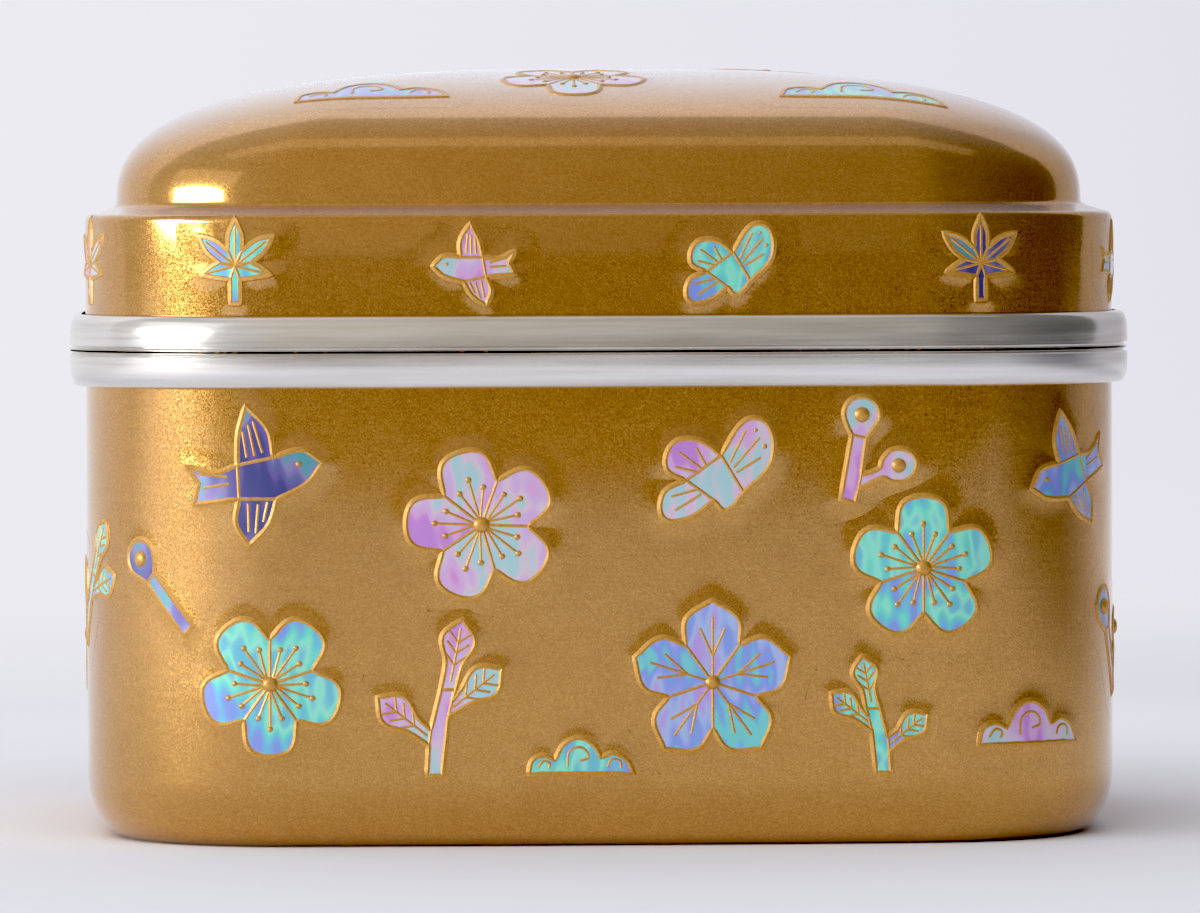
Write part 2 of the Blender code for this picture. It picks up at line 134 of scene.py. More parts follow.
def wall_point(facing, offset, height):
    """Point of the wall where it faces this way, seen from above, moved outwards by offset."""
    x, y = math.cos(facing), math.sin(facing)
    bow = math.sin(SIDE_BOW)
    if abs(x) < bow:
        radius, centre_x, centre_y = FRONT_RADIUS, 0, DEPTH / 2 - FRONT_RADIUS
    elif abs(y) < bow:
        radius, centre_x, centre_y = END_RADIUS, WIDTH / 2 - END_RADIUS, 0
    else:
        radius = CORNER_RADIUS
        centre_x, centre_y = (FRONT_RADIUS - radius) * bow, (END_RADIUS - radius) * bow
    reach = radius + offset
    across = math.copysign(1, x) * centre_x + reach * x
    back = math.copysign(1, y) * centre_y + reach * y
    return Vector((across, back, height))


# %% [markdown]
# A wall is made as a potter builds one, ring on ring. It starts from a circle whose vertices are
# moved to the plan. Each next ring is an extrusion of the last one, moved to its offset and its
# height. A vertex remembers which step of the plan it stands on, because an extrusion copies that
# value. The steps are short round the corners and longer along the sides.

# %% Steps round the plan
SIDE_STEPS, CORNER_STEPS = 14, 32
corner_turn = math.pi / 2 - 2 * SIDE_BOW
quarter = [
    (FRONT_RADIUS, SIDE_BOW, SIDE_STEPS),
    (CORNER_RADIUS, corner_turn, CORNER_STEPS),
    (END_RADIUS, SIDE_BOW, SIDE_STEPS),
]
ARCS = 2 * (quarter + quarter[::-1])
FACINGS, RUNS = [-math.pi / 2], [0.0]
for arc_radius, arc_turn, arc_steps in ARCS:
    for _ in range(arc_steps):
        FACINGS.append(FACINGS[-1] + arc_turn / arc_steps)
        RUNS.append(RUNS[-1] + arc_radius * arc_turn / arc_steps)
ROUND_RUN = RUNS[-1]
QUARTER_RUN = ROUND_RUN / 4
print(f"{len(FACINGS) - 1} steps round {ROUND_RUN / MM:.0f} mm")


# %% Rings of a wall
def only(parts, kind):
    """Those of the parts that are of a kind, such as BMEdge, or of one of several kinds."""
    return [part for part in parts if isinstance(part, kind)]


def place_ring(bm, edges, offset, height, share=1.0):
    """Moves a ring to its offset and height, drawn in towards the middle by share."""
    step = bm.verts.layers.int["step"]
    for vert in {vert for edge in edges for vert in edge.verts}:
        point = wall_point(FACINGS[vert[step]], offset, height)
        vert.co = (point.x * share, point.y * share, point.z)


def start_ring(bm, place):
    """A ring of edges in its place, with a step of the plan on each vertex."""
    step = bm.verts.layers.int.new("step")
    ring = bmesh.ops.create_circle(bm, segments=len(FACINGS) - 1, radius=1)["verts"]
    for number, vert in enumerate(ring):
        vert[step] = number
    place_ring(bm, bm.edges[:], *place)
    return bm.edges[:]


def raise_rings(bm, edges, profile, finish=0):
    """Extrudes a ring along the rest of a profile, and gives the last ring."""
    for place in profile:
        grown = bmesh.ops.extrude_edge_only(bm, edges=edges)["geom"]
        edges = only(grown, BMEdge)
        for face in only(grown, BMFace):
            face.material_index = finish
        place_ring(bm, edges, *place)
    return edges


def rounded(start, inwards, upwards, steps=8):
    """Profile points along a quarter ellipse, from its flat end to its upright end."""
    angles = [math.pi / 2 * number / steps for number in range(steps + 1)]
    offset, height = start
    return [
        (offset + inwards * (1 - math.sin(a)), height + upwards * (1 - math.cos(a))) for a in angles
    ]


# %% [markdown]
# A finished piece is a smooth-shaded mesh that keeps its hard edges. It rides on the box's one
# body, stands for the plain node where there is one, and names the finish that it takes.

# %% Finishing a piece
SHARP = math.radians(40)  # an edge that turns by more than this is shaded sharp
pieces = []  # each with its slot


def in_scene(name, data):
    """An object with this data, linked to the scene."""
    made = bpy.data.objects.new(name, data)
    bpy.context.scene.collection.objects.link(made)
    return made


def smooth_mesh(name, bm):
    """Turns a bmesh into a smooth-shaded mesh whose faces look outwards."""
    bmesh.ops.recalc_face_normals(bm, faces=bm.faces)
    mesh = bpy.data.meshes.new(name)
    bm.to_mesh(mesh)
    bm.free()
    mesh.shade_smooth()
    return mesh


def finish_piece(name, bm, slot, *nodes):
    """Turns a bmesh into a piece of the box that stands for these nodes."""
    mesh = smooth_mesh(name, bm)
    mesh.set_sharp_from_angle(angle=SHARP)
    made = in_scene(name, mesh)
    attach(made, "root")
    if nodes:
        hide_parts(*nodes)
    pieces.append((made, slot))
    return made


# %% [markdown]
# ## The body
# The core is thin wood, turned soft at the foot so that the box seems to float a little. Inside,
# the mouth has an upstanding lip that the lid slides over. One profile runs from the rounded foot
# up the wall, over the lip and down to the floor inside. The two flat faces close it.

# %% Model the body
SHOULDER = MOUTH - RIM_COVER
LIP_OUT = -(WALL - LIP_THICKNESS)
foot = rounded((0, 0), -FOOT_INSET, FOOT_HEIGHT, steps=12)
wall = [(0, FOOT_HEIGHT + (SHOULDER - FOOT_HEIGHT) * share / 6) for share in range(1, 7)]
lip = [(LIP_OUT, SHOULDER)]
lip += rounded((LIP_OUT - LIP_ROUNDING, LIP_TOP), LIP_ROUNDING, -LIP_ROUNDING)[::-1]
lip += rounded((-WALL + LIP_ROUNDING, LIP_TOP), -LIP_ROUNDING, -LIP_ROUNDING)
inside = rounded((-WALL, FLOOR), -INNER_ROUNDING, INNER_ROUNDING)[::-1]

bm = bmesh.new()
ring = start_ring(bm, foot[0])
bmesh.ops.edgeloop_fill(bm, edges=ring)
ring = raise_rings(bm, ring, foot[1:] + wall)
ring = raise_rings(bm, ring, lip + inside, finish=1)
bmesh.ops.edgeloop_fill(bm, edges=ring, mat_nr=1)
box_body = finish_piece("lacquered_body", bm, "gold_lacquer", "body")
print(f"body: {len(box_body.data.polygons)} faces")

# %% [markdown]
# ## The lid
# The lid's band stands straight, then a narrow ledge slopes up to the dome, and the two meet in a
# small hollow where the lacquer has gathered. The dome is drawn as a superellipse: each ring is
# the same plan, drawn in a little more. Under it the lid is hollow, with the same curve inside.

# %% The dome's curve
DOME_STEPS, VAULT_STEPS = 60, 14
COVE, COVE_STEPS = 0.35 * MM, 6


def dome_rings(offset, rise, lowest, steps):
    """Profile points of a dome over the foot's height, from lowest up to near its top."""
    power = 2 / DOME_FULLNESS
    start = math.asin((lowest / rise) ** (DOME_FULLNESS / 2))
    angles = [start + (math.pi / 2 - start) * number / steps for number in range(steps)]
    return [(offset, DOME_FOOT + rise * math.sin(a) ** power, math.cos(a) ** power) for a in angles]


def cove(start, corner, end):
    """Profile points along the hollow between the ledge and the dome."""
    start, corner, end = (Vector(point).to_3d() for point in (start, corner, end))
    leave, arrive = start.lerp(corner, 2 / 3), end.lerp(corner, 2 / 3)
    curve = interpolate_bezier(start, leave, arrive, end, COVE_STEPS)
    return [(point.x, point.y) for point in curve]


# %% Model the lid
LID_EDGE = LID_BOTTOM + RIM_COVER
band = [(0, LID_EDGE + (LEDGE_BOTTOM - BAND_ROUNDING - LID_EDGE) * share / 3) for share in (1, 2)]
band += rounded((0, LEDGE_BOTTOM), -BAND_ROUNDING, -BAND_ROUNDING)[::-1]
ledge_in = LEDGE_WIDTH - BAND_ROUNDING
hollow = cove(
    (-LEDGE_WIDTH + COVE, DOME_FOOT - LEDGE_RISE * COVE / ledge_in),
    (-LEDGE_WIDTH, DOME_FOOT),
    (-LEDGE_WIDTH, DOME_FOOT + COVE),
)
dome = dome_rings(-LEDGE_WIDTH, DOME_RISE, COVE, DOME_STEPS)
vault_rise = DOME_RISE - DOME_THICKNESS
under = [(-LID_WALL, LID_EDGE), (-LID_WALL, LEDGE_BOTTOM - DOME_THICKNESS)]
vault = dome_rings(-LEDGE_WIDTH - DOME_THICKNESS, vault_rise, 0, VAULT_STEPS)


def close_pole(bm, edges, height):
    """Draws a ring together to one point on the middle line."""
    verts = list({vert for edge in edges for vert in edge.verts})
    bmesh.ops.pointmerge(bm, verts=verts, merge_co=(0, 0, height))


bm = bmesh.new()
lid_ring = start_ring(bm, (0, LID_EDGE))
dome_end = raise_rings(bm, lid_ring, band + hollow[:-1] + dome + dome[-1:])
close_pole(bm, dome_end, DOME_FOOT + DOME_RISE)
vault_end = raise_rings(bm, lid_ring, under + vault + vault[-1:], finish=1)
close_pole(bm, vault_end, DOME_FOOT + vault_rise)
lid = finish_piece("lacquered_lid", bm, "gold_lacquer", "lid")
print(f"lid: {len(lid.data.polygons)} faces")

# %% [markdown]
# ## The silver rims
# A silversmith rolls a strip, bends it round the mouth and files it to shape: flat where the two
# rims meet, and curving in towards the lacquer on the other side. The section is drawn once and
# used both ways up. The rims nearly touch, so only a hair of darkness shows between them.

# %% Model the rims
SLIT = 0.12 * MM
MEETING_ROUNDING = 0.35 * MM
RIM_CURVE = 3.2  # how late the rim's face curves in: 2 would be an ellipse
RIM_STEPS = 14


def rim_section():
    """Points (offset, reach from the meeting face) round the rim's section."""
    width, tall, power = RIM_PROUD - FIT_GAP, RIM_HEIGHT - MEETING_ROUNDING, 2 / RIM_CURVE
    face = []
    for number in range(RIM_STEPS + 1):
        angle = math.pi / 2 * number / RIM_STEPS
        reach = MEETING_ROUNDING + tall * math.sin(angle) ** power
        face.append((FIT_GAP + width * math.cos(angle) ** power, reach))
    meeting = rounded((RIM_PROUD - MEETING_ROUNDING, 0), MEETING_ROUNDING, MEETING_ROUNDING, steps=5)
    inner = [(FIT_GAP, RIM_WEB), (-LID_WALL, RIM_WEB), (-LID_WALL, 0)]
    return meeting[:-1] + face + inner


def silver_rim(name, meeting, away, node):
    """A rim whose meeting face is at this height, reaching up (1) or down (-1) from it."""
    section = [(offset, meeting + away * reach) for offset, reach in rim_section()]
    bm = bmesh.new()
    raise_rings(bm, start_ring(bm, section[0]), section[1:] + section[:1])
    bmesh.ops.remove_doubles(bm, verts=bm.verts, dist=0.001 * MM)
    finish_piece(name, bm, "silver", node)


closing = (LID_BOTTOM - MOUTH - SLIT) / 2
silver_rim("silver_body_rim", MOUTH + closing, -1, "body_rim")
silver_rim("silver_lid_rim", LID_BOTTOM - closing, 1, "lid_rim")
print(f"rims stand {RIM_PROUD / MM:.1f} mm proud, with a slit of {SLIT / MM:.2f} mm")

# %% [markdown]
# ## Drawing the ornaments
# An inlay worker draws each motif on paper first, with few points and smooth lines between them.
# The same is done here. A knot is a point that is smooth or sharp, and Bezier curves join the
# knots. A drawing also says where the shell is cut into plates, and where gold lines and gold
# dots lie on it.

# %% Lines through knots
KNOT_STEPS = 6


def smooth_line(knots, closed=True):
    """Points along the curves that join the knots (x, y, sharp)."""
    spots = [Vector((x, y, 0)) for x, y, sharp in knots]
    count = len(knots)
    line = []
    for number in range(count if closed else count - 1):
        before, start, end, after = (spots[(number + step) % count] for step in (-1, 0, 1, 2))
        third = (end - start).length / 3
        leave, arrive = (end - start).normalized(), (end - start).normalized()
        if not knots[number][2]:
            leave = (end - before).normalized()
        if not knots[(number + 1) % count][2]:
            arrive = (after - start).normalized()
        handles = start + leave * third, end - arrive * third
        curve = interpolate_bezier(start, *handles, end, KNOT_STEPS + 1)
        line += [point.to_2d() for point in curve[:-1]]
    return line if closed else [*line, spots[-1].to_2d()]


def polar(reach, degrees):
    """Point at an angle clockwise from straight up."""
    angle = math.radians(degrees)
    return reach * math.sin(angle), reach * math.cos(angle)


def drawing(knots, cuts=(), rays=(), veins=(), dots=()):
    """A motif: its outline's knots, the cuts from knot to knot that part its plates, or the knots
    that rays from its middle run to, and the gold lines and dots on it."""
    return {"knots": knots, "cuts": cuts, "rays": rays, "veins": veins, "dots": dots}


def scaled(points, size):
    """The points, each with x and y times size and the rest of it as it was."""
    return [(point[0] * size, point[1] * size, *point[2:]) for point in points]


# %% Blossoms
def blossom(size):
    """A plum blossom: five round petals, each cut from its own shell, with stamens in gold."""
    petals, points, notch = 5, 4, 0.62
    knots = []
    for step in range(petals * points):
        swell = math.sin(math.pi * step / points) ** 2
        reach = size / 2 * (notch + (1 - notch) * swell**0.25)
        knots.append((*polar(reach, 360 * step / (petals * points)), step % points == 0))
    veins, dots = [], [(0, 0, 0.055 * size)]
    for petal in range(petals):
        middle = 360 * (petal + 0.5) / petals
        for lean, reach in ((-19, 0.25), (0, 0.31), (19, 0.25)):
            veins.append([polar(0.03 * size, middle), polar(reach * size, middle + lean)])
            dots.append((*polar(reach * size, middle + lean), 0.020 * size))
    return drawing(knots, rays=range(0, petals * points, points), veins=veins, dots=dots)


def bellflower(size):
    """A bellflower: five pointed petals round a small star."""
    petals, notch, shoulder = 5, 0.56, 0.84
    knots = []
    for petal in range(petals):
        points = ((1, 0, 1), (shoulder, 0.31, 0), (notch, 0.5, 1), (shoulder, 0.69, 0))
        for reach, place, sharp in points:
            knots.append((*polar(size / 2 * reach, 360 * (petal + place) / petals), sharp))
    veins, dots = [], [(0, 0, 0.045 * size)]
    for petal in range(petals):
        middle = 360 * petal / petals
        veins.append([(0, 0), polar(0.40 * size, middle)])
        for lean in (-13, 13):
            veins.append([polar(0.16 * size, middle), polar(0.34 * size, middle + lean)])
    return drawing(knots, rays=range(2, 4 * petals, 4), veins=veins, dots=dots)


def maple_leaf(size):
    """A maple leaf: five lobes with a vein in each, and a stalk."""
    lobes = ((-104, 0.44), (-52, 0.58), (0, 0.56), (52, 0.58), (104, 0.44))
    notch, stalk, stalk_top, stalk_half = 0.20, 0.44, 0.16, 0.06
    shoulder_turn, shoulder = 13, 0.66
    knots, rays, veins = [(-stalk_half, -stalk_top, 1)], [0], []
    for number, (degrees, reach) in enumerate(lobes):
        knots.append((*polar(reach * shoulder, degrees - shoulder_turn), 0))
        knots.append((*polar(reach, degrees), 1))
        knots.append((*polar(reach * shoulder, degrees + shoulder_turn), 0))
        veins.append([(0, 0), polar(reach * 0.80 * size, degrees)])
        if number < len(lobes) - 1:
            rays.append(len(knots))
            knots.append((*polar(notch, (degrees + lobes[number + 1][0]) / 2), 1))
    rays.append(len(knots))
    knots += [(stalk_half, -stalk_top, 1), (stalk_half, -stalk, 1), (-stalk_half, -stalk, 1)]
    return drawing(scaled(knots, size), rays=rays, veins=veins)


# %% Birds, butterflies and clouds
def plover(size):
    """A plover seen from above, flying to the right."""
    head = [(0.50, 0.02, 1), (0.37, 0.14, 0), (0.16, 0.13, 1)]
    upper_wing = [(0.16, 0.34, 0), (0.04, 0.54, 1), (-0.06, 0.34, 0), (-0.11, 0.13, 1)]
    tail = [(-0.30, 0.11, 0), (-0.50, 0.20, 1), (-0.43, 0.06, 1), (-0.50, -0.08, 1), (-0.15, -0.11, 1)]
    lower_wing = [(-0.21, -0.28, 0), (-0.15, -0.46, 1), (0.02, -0.34, 0), (0.12, -0.17, 1)]
    knots = head + upper_wing + tail + lower_wing + [(0.36, -0.10, 0)]
    feathers = [
        [(0.09, 0.18), (0.07, 0.42)],
        [(0.03, 0.17), (0.03, 0.40)],
        [(-0.03, 0.17), (-0.02, 0.36)],
        [(-0.09, -0.16), (-0.13, -0.36)],
        [(-0.02, -0.18), (-0.08, -0.38)],
        [(0.05, -0.18), (-0.01, -0.31)],
        [(-0.20, 0.06), (-0.42, 0.13)],
        [(-0.20, 0.01), (-0.40, 0.02)],
    ]
    feathers = [scaled(feather, size) for feather in feathers]
    eye = scaled([(0.33, 0.045, 0.022 * size)], size)[0]
    return drawing(scaled(knots, size), [(2, 6), (6, 11), (11, 15)], veins=feathers, dots=[eye])


def butterfly(size):
    """A butterfly from the side, its wings spread, with a spot on each."""
    fore_wing = [(0.20, -0.12, 1), (0.42, 0.12, 0), (0.40, 0.42, 0), (0.22, 0.46, 0), (0.02, 0.18, 1)]
    hind_wing = [(-0.16, 0.30, 0), (-0.36, 0.28, 0), (-0.42, 0.08, 0), (-0.26, -0.02, 1)]
    tail = [(-0.44, -0.12, 0), (-0.44, -0.32, 0), (-0.24, -0.32, 0), (-0.04, -0.18, 1), (0.06, -0.26, 0)]
    veins = [
        [(0.14, 0.04), (0.34, 0.16)],
        [(0.12, 0.08), (0.33, 0.32)],
        [(0.09, 0.12), (0.22, 0.38)],
        [(-0.10, 0.10), (-0.18, 0.24)],
        [(-0.13, 0.07), (-0.32, 0.21)],
        [(-0.15, 0.04), (-0.35, 0.09)],
        [(-0.16, -0.09), (-0.38, -0.15)],
        [(-0.14, -0.13), (-0.35, -0.26)],
    ]
    dots = scaled([(0.37, 0.25, 0.020 * size), (0.30, 0.38, 0.016 * size)], size)
    veins = [scaled(vein, size) for vein in veins]
    knots = scaled(fore_wing + hind_wing + tail, size)
    return drawing(knots, [(0, 4), (4, 8), (8, 12)], veins=veins, dots=dots)


def cloud(size):
    """A low bank of mist: three humps over a flat foot, with a curl in each."""
    left = [(-0.50, -0.10, 1), (-0.46, 0.03, 0), (-0.35, 0.07, 0), (-0.25, 0.03, 1)]
    middle = [(-0.16, 0.18, 0), (-0.02, 0.24, 0), (0.12, 0.17, 0)]
    right = [(0.19, 0.05, 1), (0.31, 0.09, 0), (0.43, 0.03, 0), (0.50, -0.10, 1)]
    curls = [
        [(-0.41, -0.04, 1), (-0.36, 0.02, 0), (-0.30, 0.00, 0), (-0.31, -0.05, 1)],
        [(-0.13, -0.03, 1), (-0.11, 0.11, 0), (0.00, 0.15, 0), (0.07, 0.06, 0), (-0.01, 0.02, 1)],
        [(0.25, -0.04, 1), (0.29, 0.03, 0), (0.37, 0.02, 0), (0.38, -0.05, 1)],
    ]
    curls = [scaled(smooth_line(curl, closed=False), size) for curl in curls]
    return drawing(scaled(left + middle + right, size), veins=curls)


# %% Sprigs and buds
STALK = 1.1 * MM
# What grows on a stalk: its length and width for a stalk of length 1, and its half width, for a
# width of 1, at shares of its length.
LEAF = (0.42, 0.21, [(0.32, 0.26), (0.70, 0.50)])
BUD = (0.34, 0.34, [(0.14, 0.36), (0.50, 0.50), (0.86, 0.36)])
SIDE_BUD = (0.58, 0.32, [(0.38, 0.14), (0.50, 0.36), (0.70, 0.50), (0.91, 0.34)])


def lobe(base, degrees, size, growth):
    """A leaf or a bud: its outline from its base and back, and its gold lines and dots."""
    length, width, shares = growth
    ahead = Vector(polar(size, degrees))
    aside = Vector((-ahead.y, ahead.x)) * width
    leafy = growth is LEAF
    out = [(*(base + ahead * length * at + aside * half), 0) for at, half in shares]
    back = [(*(base + ahead * length * at - aside * half), 0) for at, half in shares[::-1]]
    knots = [*out, (*(base + ahead * length), leafy), *back]
    if not leafy:
        widest = max(shares, key=lambda share: share[1])[0]
        return knots, [], [(*(base + ahead * length * widest), 0.22 * width * size)]
    veins = [[base + ahead * length * 0.05, base + ahead * length * 0.86]]
    for at in (0.30, 0.48, 0.64):
        for side in (-1, 1):
            tip = base + ahead * length * (at + 0.16) + side * aside * 0.34
            veins.append([base + ahead * length * at, tip])
    return knots, veins, []


def sprig(size, lean=0.10, left=(0.24,), right=(0.42,), aside=LEAF, tip=LEAF):
    """A stalk that leans to the right, with a leaf or a bud at its tip and at shares of its
    length on either side."""
    stalk = size * (1 - tip[0])
    spread, neck = 52, STALK / 2
    middle = Vector((lean * size / 2, size / 2))
    knots, cuts, veins, dots = [], [], [], []

    def edge(reach, side):
        return Vector((lean * size * (reach / stalk) ** 2 + side * STALK / 2, reach)) - middle

    def grow(base, degrees, growth, before, after):
        outline, lines, spots = lobe(base, degrees, size, growth)
        first = len(knots)
        knots.extend([(*before, 1), *outline, (*after, 1)])
        cuts.append((first, len(knots) - 1))
        veins.extend(lines)
        dots.extend(spots)

    knots.append((*edge(0, -1), 1))
    for share in left:
        reach = share * size
        grow(edge(reach, -1), -spread, aside, edge(reach - neck, -1), edge(reach + neck, -1))
    tilt = math.degrees(math.atan(2 * lean))
    top = Vector((lean * size, stalk)) - middle
    grow(top, tilt, tip, edge(stalk * 0.94, -1), edge(stalk * 0.94, 1))
    for share in right[::-1]:
        reach = share * size
        grow(edge(reach, 1), spread, aside, edge(reach + neck, 1), edge(reach - neck, 1))
    knots.append((*edge(0, 1), 1))
    return drawing(knots, cuts, veins=veins, dots=dots)


def bud(size):
    """A bud on its bare stalk."""
    return sprig(size, left=(), right=(), tip=BUD)


def forked_buds(size):
    """Two buds on a forked stalk."""
    return sprig(size, lean=-0.06, left=(), right=(0.20,), aside=SIDE_BUD, tip=BUD)


# %% [markdown]
# ## Where the ornaments lie
# The walls are laid flat in thought, and the ornaments are set out on a grid of small squares,
# about 1 mm each, as on squared paper. On the dome the sheet is the view from above.

# %% The layout
QUARTER_SQUARES, BODY_SQUARES, BAND_SQUARES, DOME_SQUARES = 64, 35, 10, (75, 59)
SIDES = ("front", "right", "back", "left")  # each a quarter of the run round the box

# Name: shape, shell, side, squares to the right of the side's middle and over its lower edge,
# size in squares, and degrees turned clockwise. A negative size mirrors it.
BODY_ORNAMENTS = {
    "blossom_front_left": (blossom, "teal", "front", -25.3, 12.6, 11.0, 0),
    "blossom_front_middle": (blossom, "rose", "front", -9.4, 24.7, 11.5, 20),
    "bellflower_front": (bellflower, "blue", "front", 7.9, 12.6, 12.5, 0),
    "blossom_front_right": (blossom, "teal", "front", 23.8, 21.2, 11.0, 36),
    "plover_front_left": (plover, "dusk", "front", -26.3, 28.2, 10.5, -12),
    "butterfly_front": (butterfly, "rose", "front", 8.4, 28.2, 9.5, 0),
    "plover_front_right": (plover, "blue", "front", 37.2, 28.2, -9.5, 15),
    "sprig_front_left": (sprig, "rose", "front", -12.4, 11.6, 12.0, 0),
    "sprig_front_right": (sprig, "teal", "front", 20.3, 10.1, -9.0, 0),
    "buds_front": (forked_buds, "rose", "front", 18.9, 30.3, 8.0, 15),
    "bud_front_left": (bud, "dusk", "front", -34.7, 19.7, 8.5, -50),
    "cloud_front_left": (cloud, "teal", "front", -2.0, 6.5, 8.0, 0),
    "cloud_front_right": (cloud, "rose", "front", 32.7, 8.6, 9.5, 0),
    "buds_right": (forked_buds, "dusk", "right", -20.3, 15.1, 9.0, -20),
    "blossom_right": (blossom, "rose", "right", -3.0, 14.1, 11.0, 0),
    "plover_right": (plover, "blue", "right", 10.9, 26.7, 9.5, -10),
    "sprig_right": (sprig, "teal", "right", 14.9, 11.6, -10.0, 0),
    "sprig_left": (sprig, "teal", "left", 19.8, 20.2, 11.0, 20),
    "blossom_left": (blossom, "teal", "left", 3.0, 15.1, 11.0, 20),
    "butterfly_left": (butterfly, "rose", "left", -11.9, 26.2, 9.5, 10),
    "cloud_left": (cloud, "dusk", "left", -12.9, 8.6, 9.0, 0),
    "bellflower_back": (bellflower, "teal", "back", -15.9, 18.2, 12.5, 0),
    "blossom_back": (blossom, "rose", "back", 10.9, 13.6, 11.5, 20),
    "plover_back": (plover, "dusk", "back", 18.9, 27.7, 10.5, -8),
    "sprig_back": (sprig, "rose", "back", -1.2, 25.2, 11.0, 20),
    "butterfly_back": (butterfly, "blue", "back", -30.8, 27.7, 9.5, 0),
    "cloud_back": (cloud, "teal", "back", 29.1, 8.6, 9.5, 0),
}
BAND_ORNAMENTS = {
    "maple_band_front_left": (maple_leaf, "teal", "front", -27.8, 6.2, 6.4, 0),
    "plover_band_front": (plover, "rose", "front", -9.9, 6.0, -6.1, 0),
    "butterfly_band_front": (butterfly, "teal", "front", 9.4, 5.8, 7.2, 0),
    "maple_band_front_right": (maple_leaf, "dusk", "front", 28.3, 6.2, 6.4, 0),
    "plover_band_right": (plover, "teal", "right", -18.9, 6.0, 6.1, 0),
    "maple_band_left": (maple_leaf, "rose", "left", 19.8, 6.2, 6.4, 0),
    "maple_band_back": (maple_leaf, "teal", "back", -15.9, 6.2, 6.4, 0),
    "plover_band_back": (plover, "blue", "back", 14.9, 6.0, 6.1, 0),
}
# On the dome the places are across and back from its middle.
DOME_ORNAMENTS = {
    "cloud_top_left": (cloud, "blue", -17.5, -21.5, 11.5, 0),
    "blossom_top": (blossom, "rose", -2.0, -17.0, 11.0, 0),
    "cloud_top_right": (cloud, "teal", 20.0, -21.5, 12.5, 0),
    "bellflower_top": (bellflower, "teal", 14.0, 4.0, 12.5, 0),
    "sprig_top": (sprig, "rose", -17.0, 7.0, 12.5, 30),
}


def laid(point, along, up, size, turned, square):
    """A drawing's point in its place on the sheet."""
    angle, flip = -math.radians(turned), math.copysign(1, size)
    c, s = math.cos(angle), math.sin(angle)
    x, y = point[0], point[1]
    return along * square[0] + flip * (c * x - s * y), up * square[1] + s * x + c * y


# %% From the flat sheet to the surface
def on_wall(run, height, lift):
    """Point over the wall, by the run from the middle of the front to the right and the height."""
    return wall_point(float(np.interp(run % ROUND_RUN, RUNS, FACINGS)), lift, height)


def on_body(run, height, lift):
    """Point over the body's wall, which curves inwards at its foot."""
    lowered = max(0, 1 - height / FOOT_HEIGHT)
    inwards = FOOT_INSET * (1 - math.sqrt(1 - min(lowered, 1) ** 2))
    return on_wall(run, height, lift - inwards)


def on_band(run, height, lift):
    """Point over the lid's band, which rounds inwards over its upper edge."""
    bent = max(0, height - (LEDGE_BOTTOM - BAND_ROUNDING)) / BAND_ROUNDING
    angle = min(bent, math.pi / 2)
    inwards = BAND_ROUNDING * (1 - math.cos(angle) + bent - angle)
    level = min(height, LEDGE_BOTTOM - BAND_ROUNDING) + BAND_ROUNDING * math.sin(angle)
    return on_wall(run, level + lift * math.sin(angle), lift * math.cos(angle) - inwards)


plan = np.array([wall_point(facing, -LEDGE_WIDTH, 0)[:2] for facing in FACINGS])
plan_angles = np.unwrap(np.arctan2(plan[:, 1], plan[:, 0]))
plan_reaches = np.hypot(plan[:, 0], plan[:, 1])


def on_dome(across, back, lift):
    """Point over the dome, by its place as seen from above."""
    angle = math.atan2(back, across)
    if angle < plan_angles[0]:
        angle += math.tau
    share = math.hypot(across, back) / float(np.interp(angle, plan_angles, plan_reaches))
    rise = DOME_RISE * (1 - share**DOME_FULLNESS) ** (1 / DOME_FULLNESS)
    return Vector((across, back, DOME_FOOT + rise + lift))


# %% [markdown]
# ## The shell plates
# Each motif is sawn from thin shell, one plate for a petal or a wing, so that each shows its own
# play of colour. A plate starts as one flat face. Planes cut it into strips that can bend with the
# wall, an extrusion gives it its thickness, and then it is laid on the surface. Each vertex keeps
# a number for its plate, which the shell's material reads as a tint.

# %% Cut the plates
PLATE_TOP = 0.08 * MM
PLATE_THICKNESS = 0.5 * MM
STRIP = 1.0 * MM
CUT_MARGIN = 0.01 * MM  # a corner this near to a cut is taken to be on it
GOLDEN_SHARE = 0.618  # steps of this size spread numbers evenly between 0 and 1


def cut_plates(outline, shape, centre):
    """The outlines of a motif's plates, and the lines between them."""

    def at(knot):
        return knot * KNOT_STEPS

    plates, seams = [], []
    rays = list(shape["rays"])
    for first, second in zip(rays, rays[1:] + [len(shape["knots"]) + rays[0]] if rays else ()):
        around = [outline[number % len(outline)] for number in range(at(first), at(second) + 1)]
        plates.append([centre, *around])
        seams.append([centre, around[0]])
    if not rays:
        rest_of_it, position = [], 0
        for first, second in shape["cuts"]:
            plates.append(outline[at(first) : at(second) + 1])
            seams.append([outline[at(first)], outline[at(second)]])
            rest_of_it += outline[at(position) : at(first) + 1]
            position = second
        plates.append(rest_of_it + outline[at(position) :])
    return plates, seams


def strip_lines(low, high):
    """Places between low and high, a strip apart."""
    return [STRIP * number for number in range(math.ceil(low / STRIP), math.ceil(high / STRIP))]


